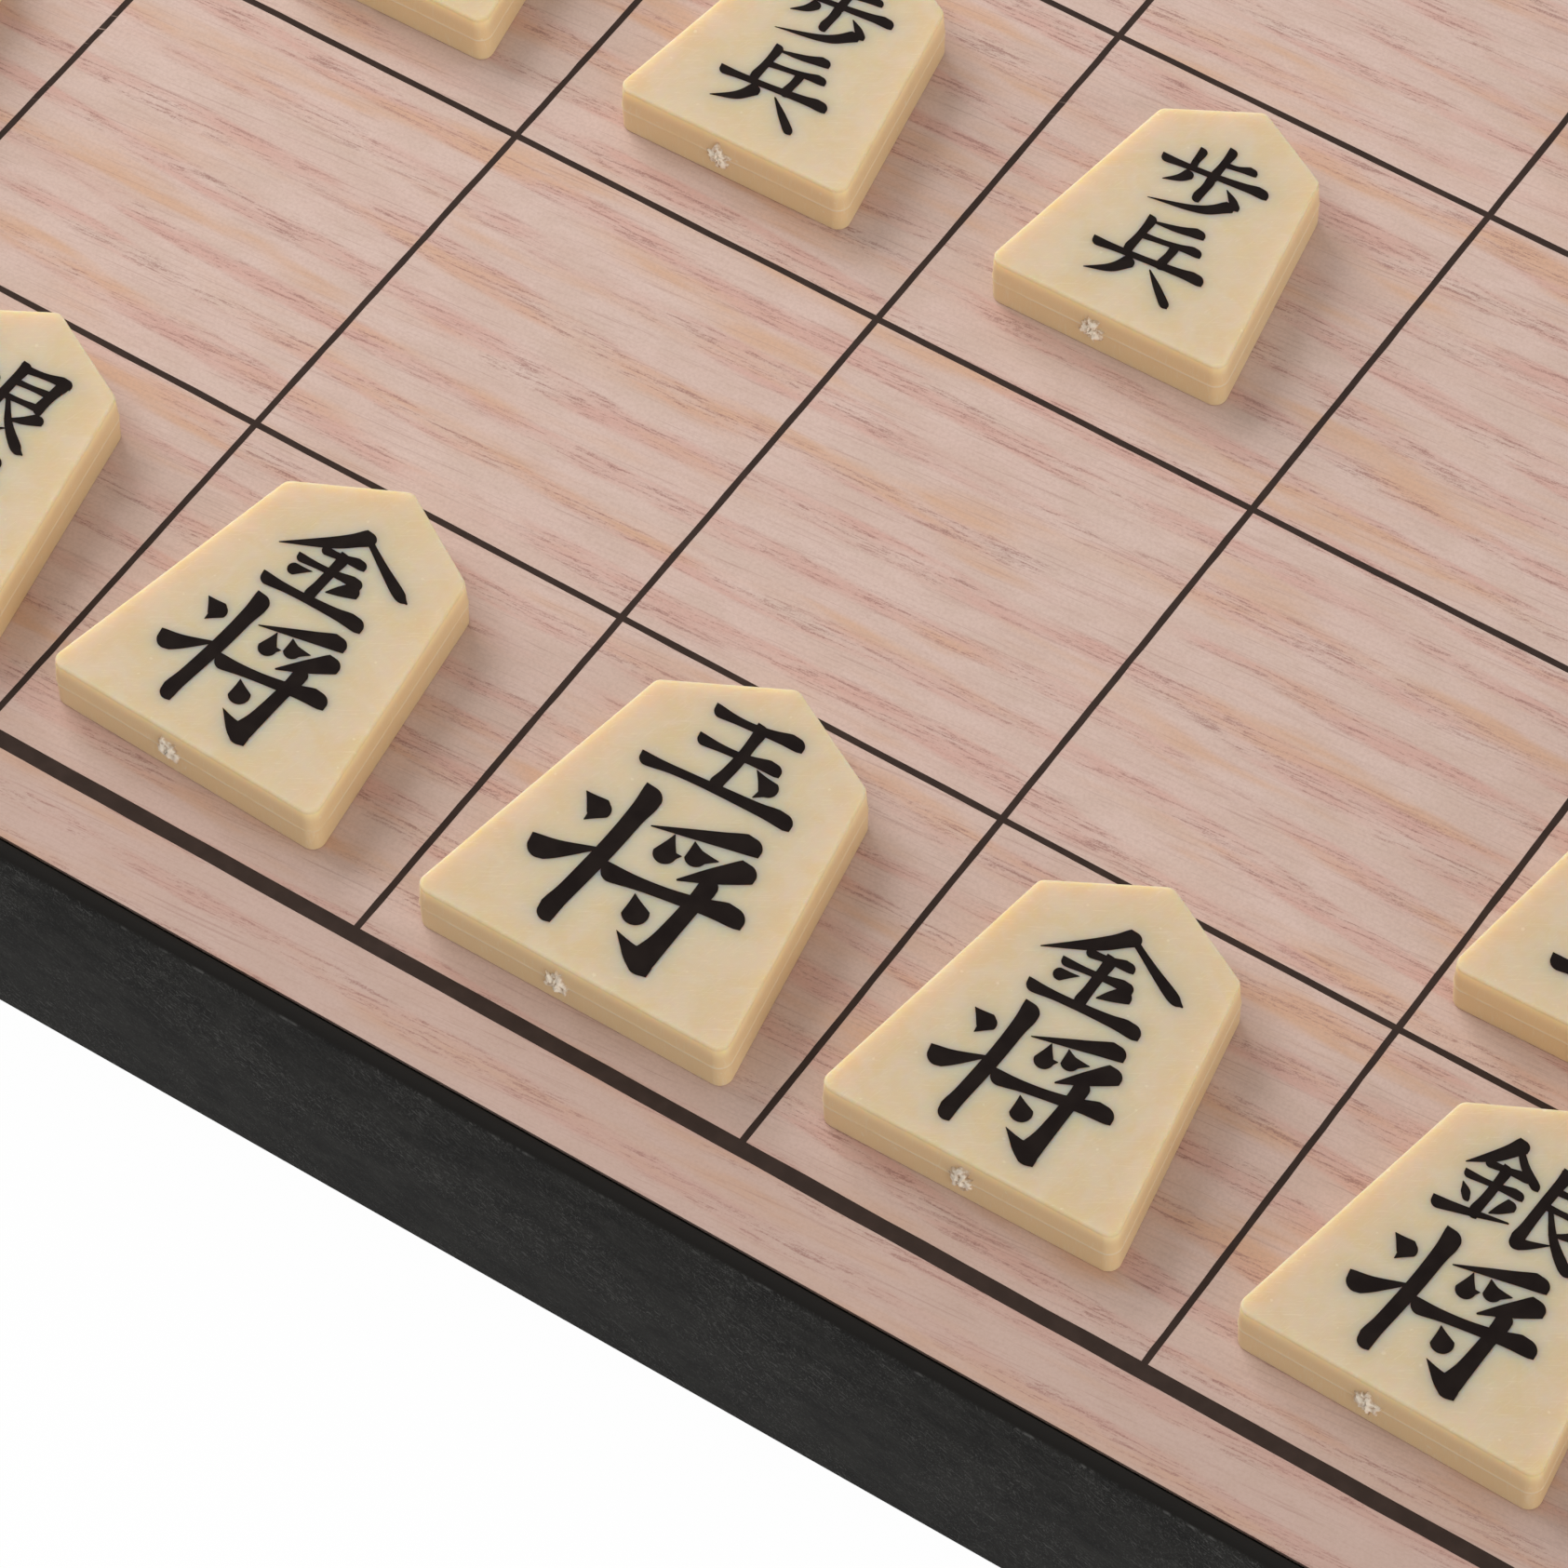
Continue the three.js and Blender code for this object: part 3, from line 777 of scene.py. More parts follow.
# Signs drawn in a square box of this size, one row of text for a few strokes. A stroke ends at "/"; its
# places are split by commas, each with x, y and half the brush's width there. A stroke of two places is a
# drop that swells from a point to a round end.
SIGN_BOX = 100
SIGNS: dict[str, str] = {
    "jewel": """
        20 88 4.6, 44 89 3.4, 73 95 5.2 / 23 52 4.2, 47 54 3.2, 72 59 4.8 /
        49 90 4.4, 50 50 4.2, 48 12 4.2 / 2 4 4.6, 36 9 3.8, 98 14 6.0 / 63 50 0.4, 76 38 6.6 /
        72 22 0.6, 77 36 5.0
    """,
    "king": """
        20 88 4.6, 44 89 3.4, 73 95 5.2 / 23 50 4.2, 47 52 3.2, 72 57 4.8 /
        49 90 4.4, 50 50 4.2, 49 12 4.2 / 2 4 4.6, 36 9 3.8, 98 14 6.0
    """,
    "general": """
        1 83 0.4, 10 78 6.0 / 9 67 0.4, 12 77 5.4 / 0 38 5.6, 10 44 4.0, 25 56 0.4 /
        28 99 5.6, 27.5 58 5.0, 24 5 4.6 / 83 101 5.0, 68 95 4.2, 37 83 0.4 / 49 85 0.4, 51 72 5.8 /
        58 75 0.4, 52 71 4.6 / 59 87 0.4, 64 79 5.4 / 74 83 0.4, 65 79.5 4.4 /
        89 85 5.0, 78 74 4.2, 64 61 0.5 / 36 45 4.8, 66 50 3.8, 98 57 5.6 /
        78.5 67 4.6, 78 40 4.8, 77 14 5.6, 75 5 5.0 / 75 6 7.4, 68 9 5.2, 57 16 0.3 /
        52.5 41 0.4, 58.5 31 6.6
    """,
    "gold": """
        51 98 5.0, 33 74 4.4, 3 46 0.4 / 50 97 2.6, 74 77 4.6, 95 61 6.0, 103 57 1.2 /
        33 63 3.4, 46 65 3.0, 60 68 4.0 / 23 43 3.4, 45 45 3.0, 67 48 4.2 / 47 65 4.2, 47 36 4.2, 47 9 4.2 /
        36 36 0.4, 25 29 4.8 / 69 39 4.8, 61 31 3.4, 54 24 0.5 / 15 5 4.8, 46 7 4.0, 87 10 6.0
    """,
    "silver": """
        25 98 4.4, 15 76 3.8, 1 56 0.4 / 24 95 2.2, 34 80 4.2, 46 68 3.8 / 14 66 3.0, 26 68 2.6, 38 70 3.4 /
        7 46 3.0, 24 48 2.6, 42 51 3.6 / 26 68 3.6, 26 40 3.6, 25 13 3.6 / 8 36 1.0, 12 30 3.6, 15 24 2.8 /
        42 38 3.6, 37 28 2.6, 33 21 0.5 / 2 5 4.2, 20 11 3.4, 47 21 0.8 / 59 93 4.0, 58 50 4.0, 58 8 4.6 /
        58 7 4.2, 66 12 2.8, 77 22 0.4 / 58 91 3.4, 74 93 3.0, 91 96 4.2 / 90 95 4.2, 88 76 4.0, 87 56 3.8 /
        58 74 2.8, 73 75 2.6, 87 76 3.0 / 58 55 2.8, 73 56 2.6, 87 57 3.0 /
        93 46 3.8, 83 37 2.8, 72 31 0.5 / 64 53 1.8, 77 28 4.2, 93 8 5.6, 100 4 1.0
    """,
    "flying": """
        12 92 4.0, 38 93 3.2, 61 96 4.2 / 60 95 4.2, 61 80 3.8, 69 67 3.6, 84 61 3.8, 92 63 2.6, 94 73 0.4 /
        90 91 3.8, 80 85 2.8, 70 82 0.5 / 74 82 1.0, 80 77 3.2, 84 72 3.0 /
        46 52 3.4, 56 53 3.0, 66 56 4.0 / 65 55 4.0, 65 34 3.8, 72 17 3.6, 86 8 3.8, 97 10 2.6, 99 24 0.4 /
        92 49 3.6, 83 43 2.8, 73 40 0.5 / 76 40 1.0, 83 34 3.2, 87 29 3.0 /
        42 82 3.8, 30 75 3.0, 12 70 0.5 / 3 47 4.0, 24 50 3.2, 52 54 1.6 / 22 70 3.8, 20 38 3.8, 3 6 0.4 /
        41 78 4.0, 40 40 4.2, 39 3 3.8
    """,
    "chariot": """
        20 85 3.8, 48 87 3.2, 80 91 4.8 / 25 71 4.2, 26 52 4.0, 28 35 3.6 /
        26 69 3.2, 50 70 3.0, 77 73 4.2 / 76 72 4.4, 74 52 4.2, 72 35 4.0 /
        28 54 2.8, 50 54.5 2.6, 73 55.5 2.8 / 28 38 3.0, 50 38.5 2.8, 72 39 3.0 /
        2 17 4.6, 48 21 3.8, 98 26 6.0 / 50 98 4.8, 50 50 4.6, 50 2 4.0
    """,
    "angle": """
        42 99 4.6, 30 87 3.6, 13 77 0.4 / 36 89 3.0, 52 91 2.8, 66 93 3.8 /
        65 92 3.8, 58 84 3.0, 49 77 0.6 / 22 75 4.4, 22 42 4.4, 18 18 3.8, 4 0 0.4 /
        23 73 3.4, 50 75 3.0, 80 78 4.4 / 79 77 4.8, 79 40 4.8, 78 4 5.0 / 78 4 4.6, 71 5 3.4, 60 14 0.4 /
        50 74 3.8, 50 48 3.6, 49 20 3.2 / 24 52 2.8, 50 53 2.6, 78 54 2.8 / 22 30 2.8, 50 31 2.6, 78 32 2.8
    """,
    "going": """
        30 98 4.6, 20 86 3.8, 4 75 0.4 / 36 73 4.8, 22 57 4.0, 1 42 0.4 / 23 56 4.4, 23 30 4.4, 22 3 4.2 /
        50 85 3.8, 70 87 3.2, 93 91 4.8 / 41 55 4.2, 70 59 3.6, 99 64 5.4 / 75 58 4.8, 75 30 5.0, 74 5 5.2 /
        74 6 4.8, 66 7 3.4, 52 18 0.4
    """,
    "laurel": """
        3 71 3.8, 22 74 3.2, 45 79 4.6 / 25 98 4.8, 25 50 4.6, 24 3 4.2 / 25 70 3.2, 17 50 3.2, 1 32 0.4 /
        30 60 1.0, 37 50 4.4, 42 44 3.4 / 57 81 3.4, 74 83 3.0, 93 87 4.4 /
        75 98 4.4, 75 76 4.2, 75 56 4.0 / 50 55 3.8, 74 58 3.2, 99 62 5.0 /
        58 33 3.2, 74 35 2.8, 92 38 4.2 / 75 54 4.2, 75 28 4.0, 75 7 4.0 / 47 4 4.2, 74 7 3.6, 100 11 5.4
    """,
    "horse": """
        26 96 4.4, 26 70 4.2, 25 40 4.2 / 27 93 3.4, 50 94 3.0, 79 98 4.2 /
        51 93 4.0, 51 70 3.8, 51 42 3.8 / 27 76 3.0, 50 77 2.8, 76 80 3.8 /
        27 59 3.0, 50 60 2.8, 76 63 3.8 / 7 39 4.4, 48 42 3.6, 89 47 4.8 /
        88 46 4.8, 88 26 5.0, 83 8 4.8, 78 3 4.0 / 80 4 4.2, 73 6 3.2, 63 15 0.4 /
        13 28 1.0, 10 20 4.2, 6 12 3.4 / 29 29 1.0, 32 22 3.8, 34 17 3.2 / 45 30 1.0, 49 23 3.8, 51 18 3.2 /
        61 31 1.0, 66 25 3.8, 68 20 3.2
    """,
    "incense": """
        68 98 4.4, 52 92 3.8, 26 87 0.5 / 4 69 4.2, 48 73 3.4, 95 78 5.2 / 50 93 4.4, 50 66 4.2, 50 44 4.0 /
        49 72 3.4, 33 54 3.6, 2 36 0.4 / 52 71 2.2, 70 54 4.8, 92 42 5.6, 100 40 1.0 /
        30 35 4.2, 30 18 4.0, 30 1 3.8 / 30 33 3.2, 50 34 3.0, 72 37 4.0 / 71 36 4.4, 71 18 4.2, 70 1 4.0 /
        32 19 2.8, 50 19.5 2.6, 70 20 2.8 / 32 4 3.0, 50 4.5 2.8, 70 5 3.0
    """,
    "walking": """
        50 99 4.6, 50 80 4.2, 50 60 4.2 / 52 81 3.0, 64 83 3.0, 77 87 4.4 /
        27 84 4.2, 27 72 3.8, 28 61 3.6 / 2 57 4.6, 48 61 3.8, 97 67 5.8 / 50 54 4.4, 50 40 4.4, 49 26 4.2 /
        30 50 4.4, 24 40 3.4, 12 31 0.5 / 68 52 1.0, 77 44 4.6, 84 37 4.4 / 80 33 4.8, 58 14 4.4, 12 1 0.4
    """,
    "soldier": """
        74 97 5.0, 54 91 3.8, 30 87 1.0 / 30 89 4.4, 30 66 4.2, 29 44 4.2 /
        32 67 3.4, 54 70 3.2, 82 75 4.8 / 63 69 4.2, 63 56 4.0, 62 42 4.0 / 2 37 4.8, 48 41 4.0, 98 46 6.0 /
        38 31 5.0, 27 14 4.0, 7 2 0.4 / 58 32 1.2, 74 16 5.0, 87 3 5.0
    """,
}


def read_strokes(sign: str) -> list[np.ndarray]:
    """Read the strokes of a sign: one row of x, y and half width for each place."""
    strokes = SIGNS[sign].split("/")
    return [np.array([place.split() for place in stroke.split(",")], float) for stroke in strokes]


@dataclass(frozen=True)
class Brush:
    """A pointed brush held at a slant: its print is a leaf with a tip up to the left and a blunter tail."""

    slant: float = math.radians(-38)
    long_share: float = 1.06
    short_share: float = 0.8
    tip_share: float = 1.5
    tip_bearing: float = math.radians(139)
    tail_share: float = 1.24
    tail_bearing: float = math.radians(-36)
    print_steps: int = 90
    body_steps: int = 26
    cap_steps: int = 9
    press_share: float = 0.2
    press_reach: float = 9.0
    lift_share: float = 0.85
    tapered_below: float = 1.5

    def drop(self) -> np.ndarray:
        """Outline the brush's print: an oval with long and short half axes, the tip and the tail.

        Returns:
            One row of x and y for each point, for a brush of half width 1.
        """
        angle = np.linspace(0, 2 * np.pi, self.print_steps, endpoint=False)
        cosine, sine = math.cos(self.slant), math.sin(self.slant)
        turn = np.array([[cosine, sine], [-sine, cosine]])
        oval = np.column_stack([self.long_share * np.cos(angle), self.short_share * np.sin(angle)]) @ turn
        points = ((self.tip_share, self.tip_bearing), (self.tail_share, self.tail_bearing))
        ends = [[reach * math.cos(bearing), reach * math.sin(bearing)] for reach, bearing in points]
        return np.vstack([oval, ends])

    def sweep(self, places: np.ndarray, half_widths: np.ndarray) -> tuple[np.ndarray, np.ndarray]:
        """Find both edges of a stroke.

        An edge point is the point of the brush's print that lies farthest to that side of the
        stroke. At either end the two sides swing round until they meet in front.

        Args:
            places: Middle line of the stroke, one row for each place.
            half_widths: Half the brush's width at each place.

        Returns:
            The left and the right edge, as many points each.
        """
        along = np.gradient(places, axis=0)
        along /= np.linalg.norm(along, axis=1, keepdims=True)
        swing = np.linspace(np.pi / 2, 0, self.cap_steps, endpoint=False)
        angle = np.concatenate([-swing, np.zeros(len(places)), swing[::-1]])[:, None]
        last = len(places) - 1
        index = np.concatenate([np.zeros(len(swing), int), np.arange(last + 1), np.full(len(swing), last)])
        ahead = along[index]
        square = np.column_stack([-ahead[:, 1], ahead[:, 0]])
        drop, edges = self.drop(), []
        for side in (1, -1):
            outward = side * square * np.cos(angle) + ahead * np.sin(angle)
            farthest = drop[np.argmax(outward @ drop.T, axis=1)]
            edges.append(places[index] + half_widths[index][:, None] * farthest)
        return edges[0], edges[1]

    def smooth_line(self, knots: np.ndarray) -> np.ndarray:
        """Run a smooth line through a stroke's places and widths.

        Each stretch between two knots is the cubic whose slope at a knot is half the step between
        that knot's neighbours. The brush presses harder near an end that isn't tapered: its width
        grows by a share that falls off as a bell curve of the distance from that end.

        Args:
            knots: Rows of x, y and half width.

        Returns:
            The same columns at evenly spread steps.
        """
        padded = np.vstack([2 * knots[0] - knots[1], knots, 2 * knots[-1] - knots[-2]])
        place = np.linspace(0, len(knots) - 1, self.body_steps)
        first = np.minimum(place.astype(int), len(knots) - 2)
        t = (place - first)[:, None]
        p0, p1, p2, p3 = (padded[first + k] for k in range(4))
        square, cube = 2 * p0 - 5 * p1 + 4 * p2 - p3, 3 * p1 - p0 - 3 * p2 + p3
        line = 0.5 * (2 * p1 + (p2 - p0) * t + square * t**2 + cube * t**3)
        walked = np.concatenate([[0], np.cumsum(np.linalg.norm(np.diff(line[:, :2], axis=0), axis=1))])
        pressed = np.where(knots[[0, -1], 2] > self.tapered_below, self.press_share, 0.0)
        from_end = walked[-1] - walked
        press = pressed[0] * np.exp(-((walked / self.press_reach) ** 2))
        press += pressed[1] * np.exp(-((from_end / self.press_reach) ** 2))
        line[:, 2] = np.maximum(line[:, 2], knots[:, 2].min()) * (self.lift_share + press)
        return line


@dataclass(frozen=True)
class Mark:
    """A printed mark: two signs one above the other, laid out as shares of the piece."""

    kind: PieceKind
    side: Side
    brush: Brush = Brush()
    drop_brush: Brush = Brush(long_share=1.0, short_share=0.94, tip_share=1.0, tail_share=1.0)
    ink_height: float = 0.01
    ink_step: float = 0.0008
    ink_root: float = 0.02
    king_shares: tuple[Point3, Point3] = ((0.442, 0.608, 0.866), (0.576, 0.088, 0.536))
    pawn_shares: tuple[Point3, Point3] = ((0.41, 0.487, 0.793), (0.42, 0.13, 0.452))
    usual_shares: tuple[Point3, Point3] = ((0.45, 0.53, 0.81), (0.52, 0.08, 0.478))

    def boxes(self) -> list[tuple[str, float, float, float]]:
        """Each sign's name, its width, and its lowest and highest place above the butt.

        Returns:
            One row for the upper sign and one for the lower.
        """
        width, height, upper, lower = self.kind.value
        named = {PieceKind.KING: self.king_shares, PieceKind.PAWN: self.pawn_shares}
        shares = named.get(self.kind, self.usual_shares)
        if self.kind is PieceKind.KING and self.side is Side.FAR:
            upper = "king"
        return [(s, w * width, lo * height, hi * height) for s, (w, lo, hi) in zip((upper, lower), shares)]

    def strokes(self) -> list[tuple[np.ndarray, np.ndarray, np.ndarray]]:
        """Middle line and both edges of every stroke, in the piece's own millimetres.

        Returns:
            For each stroke its middle line with half widths, its left edge and its right edge.
        """
        made = []
        for name, width, low, high in self.boxes():
            for stroke in read_strokes(name):
                brush = self.drop_brush if len(stroke) == 2 else self.brush
                line = brush.smooth_line(stroke)
                x = (line[:, 0] / SIGN_BOX - 0.5) * width
                y = low - self.kind.height / 2 + line[:, 1] / SIGN_BOX * (high - low)
                places = np.stack([x, y], -1)
                reach = line[:, 2] / SIGN_BOX * width
                left, right = brush.sweep(places, reach)
                made.append((np.column_stack([places, reach]), left, right))
        return made

    def mesh(self, level: float) -> tuple[np.ndarray, np.ndarray]:
        """Raise every stroke as a thin film, each a little higher, with its foot hidden in the shell.

        Args:
            level: Height of the face that the mark is printed on.

        Returns:
            The points and the faces.
        """
        points, faces, offset = [], [], 0
        for order, (_, left, right) in enumerate(self.strokes()):
            top = level + self.ink_height + order * self.ink_step
            points.append(film_between(left, right, level - self.ink_root, top))
            faces.append(grid_faces(len(left), FILM_POINTS, True) + offset)
            offset += len(points[-1])
        return np.vstack(points), np.vstack(faces)


@dataclass(frozen=True)
class TornGate:
    """The stub where a piece was broken off its runner: a low dome of rough noise with a ragged rim."""

    radius: float = 1.0
    stand: float = 0.36
    across_share: float = 0.9
    upward_share: float = 1.05
    ragged_shares: tuple[float, float] = (0.6, 1.15)
    top_share: float = 0.08
    folds: int = 3
    ripples: float = 7.0
    most_phase: float = 6.0
    middle_share: float = 0.45
    fold_share: float = 0.4
    grain_share: float = 0.12
    least_share: float = 0.02
    most_share: float = 1.3
    root_share: float = -0.5
    rings: int = 11
    spokes: int = 28

    def mesh(self, random: Random) -> tuple[np.ndarray, Faces, np.ndarray]:
        """Raise the dome: noise times 1 - s^3, where s goes from 1 at the rim to nearly 0 in the middle.

        The noise is a wave of the angle times a wave of s, with grain on top, between two limits.
        The rim itself is sunk below the wall, so that no gap shows under it.

        Args:
            random: Source of the roughness.

        Returns:
            Points in front of a wall at y = 0, their faces, and from 0 to 1 how far each stands out.
        """
        share = np.linspace(1, self.top_share, self.rings)[:, None]
        angle = np.linspace(0, 2 * np.pi, self.spokes, endpoint=False)[None, :]
        ragged = np.repeat(random.uniform(*self.ragged_shares, (1, self.spokes)), self.rings, 0)
        x = self.radius * share * ragged * np.cos(angle) * self.across_share
        z = self.radius * share * ragged * np.sin(angle) * self.upward_share
        waves = np.sin(angle * self.folds + random.uniform(0, self.most_phase))
        waves = waves * np.cos(share * self.ripples + random.uniform(0, self.most_phase))
        grain = random.normal(0, self.grain_share, (self.rings, self.spokes))
        rough = self.middle_share + self.fold_share * waves + grain
        height = (1 - share**3) * np.clip(rough, self.least_share, self.most_share)
        height[0] = self.root_share
        points = np.stack([x, -height * self.stand, z], -1).reshape(-1, 3)
        faces = grid_faces(self.rings, self.spokes, True).tolist()
        faces.append(list(range((self.rings - 1) * self.spokes, self.rings * self.spokes)))
        faces.append(list(range(self.spokes))[::-1])
        return points, faces, np.clip(height, 0, 1).reshape(-1)


@dataclass(frozen=True)
class PieceFinishes:
    """The finishes that all game pieces share."""

    ivory: bpy.types.Material
    torn: bpy.types.Material
    ink: bpy.types.Material


@dataclass(frozen=True)
class GamePiece:
    """One playing piece: a moulded shell of five sides with its parting line, gate and mark."""

    node: str
    kind: PieceKind
    side: Side
    thickness: float = 3.57
    seat_gap: float = 0.005  # keeps the underside and the sheet out of one plane
    edge_round: float = 0.16
    foot_round: float = 0.08
    draft: float = 0.08
    foot_draft: float = 0.03
    corner_radius: float = 0.8
    shoulder_width_share: float = 0.686
    shoulder_height_share: float = 0.836
    ridge: float = 0.035
    ridge_half_height: float = 0.09
    margin: float = 0.05
    dish: float = 0.03
    ink_shade_reach: float = 0.42
    torn_gate: TornGate = TornGate()
    gate_share: float = 0.455
    gate_wander_share: float = 0.012
    ridge_top_share: float = 0.3
    middle_drop_share: float = 0.03
    under_shares: tuple[float, float] = (0.3, 0.7)
    round_steps: int = 6
    corner_steps: int = 8
    side_steps: int = 14
    face_rings: int = 22

    def outline(self, inset: float) -> np.ndarray:
        """Draw the five-sided outline, moved in by an inset, with round corners.

        Each corner is an arc that touches both sides: its middle lies on the line that halves the
        corner, and its start is turned on by an even share of the arc. Straight runs join the arcs.

        Args:
            inset: How far the outline lies inside the widest one.

        Returns:
            One row of x and y for each point, counter-clockwise from the left of the butt.
        """
        width, height = self.kind.width, self.kind.height
        shoulder = width * self.shoulder_width_share / 2
        rise = height * (self.shoulder_height_share - 0.5)
        right, top = width / 2, height / 2
        corners = np.array([[-right, -top], [right, -top], [shoulder, rise], [0, top], [-shoulder, rise]])
        before = np.roll(corners, 1, 0) - corners
        after = np.roll(corners, -1, 0) - corners
        before /= np.linalg.norm(before, axis=1, keepdims=True)
        after /= np.linalg.norm(after, axis=1, keepdims=True)
        half = np.arccos((before * after).sum(1))[:, None] / 2
        inward = (before + after) / np.linalg.norm(before + after, axis=1, keepdims=True)
        radius = self.corner_radius - inset
        middles = corners + inward * (inset + radius) / np.sin(half)
        starts = np.stack([-before[:, 1], before[:, 0]], -1)
        turn = np.pi - 2 * half
        angle = np.linspace(0, 1, self.corner_steps + 1)[None, :] * turn
        cosine, sine = np.cos(angle)[..., None], np.sin(angle)[..., None]
        quarter = np.stack([-starts[:, 1], starts[:, 0]], -1)
        arcs = middles[:, None] + radius * (starts[:, None] * cosine + quarter[:, None] * sine)
        share = np.linspace(0, 1, self.side_steps + 2)[1:-1][None, :, None]
        following = np.roll(arcs[:, 0], -1, 0)
        runs = arcs[:, -1][:, None] * (1 - share) + following[:, None] * share
        return np.concatenate([arcs, runs], 1).reshape(-1, 2)

    def sections(self) -> list[tuple[float, float]]:
        """Inset and height of each ring up the sides: round edge, draft, ridge, draft, round edge.

        Returns:
            One pair for each ring, from the underside to the face.
        """
        middle = self.thickness / 2
        reach = self.ridge_half_height
        half = [(-self.ridge, self.ridge_top_share * reach), (0.0, reach), (0.0, reach + self.margin)]
        ridge = [(inset, middle - level) for inset, level in reversed(half)]
        ridge += [(inset, middle + level) for inset, level in half]
        lower = self.rounded(self.foot_draft, self.foot_round)
        upper = reversed(self.rounded(self.draft, self.edge_round))
        return lower + ridge + [(inset, self.thickness - level) for inset, level in upper]

    def rounded(self, draft: float, radius: float) -> list[tuple[float, float]]:
        """Inset and height along a quarter circle from the face to the wall, then a close ring.

        Args:
            draft: Inset of the wall where the round ends.
            radius: Radius of the round.

        Returns:
            One pair for each ring, with heights that start from the face.
        """
        quarter = np.linspace(0, np.pi / 2, self.round_steps)
        arc = [(draft + radius * (1 - math.sin(a)), radius * (1 - math.cos(a))) for a in quarter]
        return arc + [(draft, radius + self.margin)]

    def shell(self) -> tuple[np.ndarray, Faces]:
        """Carry the outline up the sides, then draw it in to a point over each face.

        Returns:
            The points and faces of the closed shell.
        """
        rings = [np.column_stack([self.outline(i), np.full(self.count, z)]) for i, z in self.sections()]
        middle = self.face_middle
        upper = []
        for share in np.linspace(1, 0, self.face_rings + 1)[1:-1]:
            level = self.thickness - self.dish * (1 - share**4)
            inner = middle + (rings[-1][:, :2] - middle) * share
            upper.append(np.column_stack([inner, np.full(self.count, level)]))
        lower = [np.column_stack([rings[0][:, :2] * s, np.zeros(self.count)]) for s in self.under_shares]
        stacked = lower + rings + upper
        points = np.vstack(stacked + [[[0, 0, 0]], [[*middle, self.thickness - self.dish]]])
        faces = grid_faces(len(stacked), self.count, True).tolist()
        ring = np.arange(self.count)
        following, last = (ring + 1) % self.count, (len(stacked) - 1) * self.count
        under, over = (np.full(self.count, len(points) - place) for place in (2, 1))
        faces += np.stack([under, following, ring], -1).tolist()
        faces += np.stack([over, last + ring, last + following], -1).tolist()
        return points, faces

    @property
    def count(self) -> int:
        """Points in one ring of five corners and five sides."""
        return 5 * (self.corner_steps + 1 + self.side_steps)

    @property
    def face_middle(self) -> np.ndarray:
        """The lowest place of the dished face, a little nearer to the butt than the outline's middle."""
        return np.array([0.0, -self.middle_drop_share * self.kind.height])

    def gate(self, random: Random) -> tuple[np.ndarray, Faces, np.ndarray]:
        """Stand the torn gate on the butt, about half way up and a little off the middle.

        Args:
            random: Source of its roughness and its place.

        Returns:
            The points and faces of the torn stub, and how far each point stands out, from 0 to 1.
        """
        points, faces, raised = self.torn_gate.mesh(random)
        across = (self.gate_share - 0.5 + random.normal(0, self.gate_wander_share)) * self.kind.width
        points += [across, -self.kind.height / 2 - self.ridge, self.thickness / 2]
        return points, faces, raised

    def place(self) -> tuple[np.ndarray, np.ndarray, float]:
        """Find where the piece stands: its solid is alike on both sides of its long axis.

        The long axis is the direction in which the solid's points spread the most.

        Returns:
            The turn as a matrix of two axes, the place of the piece's middle, and its lowest level.
        """
        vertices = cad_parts[self.node].data.vertices
        found = np.empty(len(vertices) * 3)
        vertices.foreach_get("co", found)
        found = np.unique(np.round(found.reshape(-1, 3) / MM, 4), axis=0)
        flat = found[:, :2]
        spread, axes = np.linalg.eigh(np.cov((flat - flat.mean(0)).T))
        forward = axes[:, np.argmax(spread)]
        forward = forward * np.sign(forward[1]) * (-self.side.value)
        across = np.array([forward[1], -forward[0]])
        local = flat @ np.stack([across, forward], -1)
        middle_x = (local[:, 0].min() + local[:, 0].max()) / 2
        middle_y = local[:, 1].min() + self.kind.height / 2
        axes = np.stack([across, forward])
        return axes, np.array([middle_x, middle_y]) @ axes, found[:, 2].min()

    def build(self, finishes: PieceFinishes, random: Random) -> None:
        """Make the shell, the torn gate on its butt and the mark printed on its face.

        Args:
            finishes: The three finishes of a piece.
            random: Source of the gate's roughness.
        """
        axes, middle, floor = self.place()
        mark = Mark(self.kind, self.side)

        def stand(points: np.ndarray) -> np.ndarray:
            """Turn and move points from the piece's own place to where it stands."""
            return np.column_stack([points[:, :2] @ axes + middle, points[:, 2] + floor + self.seat_gap])

        def make(
            part: str,
            points: np.ndarray,
            faces: Faces | np.ndarray,
            material: bpy.types.Material,
            sharp: float,
        ) -> bpy.types.Object:
            """Make one part of the piece, on the piece's own body."""
            name = f"{self.node}_{part}"
            return make_piece(name, stand(points), faces, material, self.node, sharp)

        shell, faces = self.shell()
        body = make("shell", shell, faces, finishes.ivory, SOLID_SHARP_ABOVE)
        paint(body, "ink_shade", self.ink_shade(shell, mark))
        paint(body, "depth", 1 - shell[:, 2] / self.thickness)
        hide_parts(self.node)
        stub, faces, raised = self.gate(random)
        paint(make("gate", stub, faces, finishes.torn, FILM_SHARP_ABOVE), "raised", raised)
        drawn, faces = mark.mesh(self.thickness)
        drawn[:, 2] -= self.face_drop(drawn[:, :2])
        printed = make("mark", drawn, faces, finishes.ink, FILM_SHARP_ABOVE)
        merge_doubles(printed.data)
        # The ink takes the light as the flat face under it does.
        printed.data.normals_split_custom_set_from_vertices([(0, 0, 1)] * len(printed.data.vertices))
        inked = len(printed.data.vertices)
        LOG.info("%s: shell of %d points, mark of %d points", self.node, len(shell), inked)

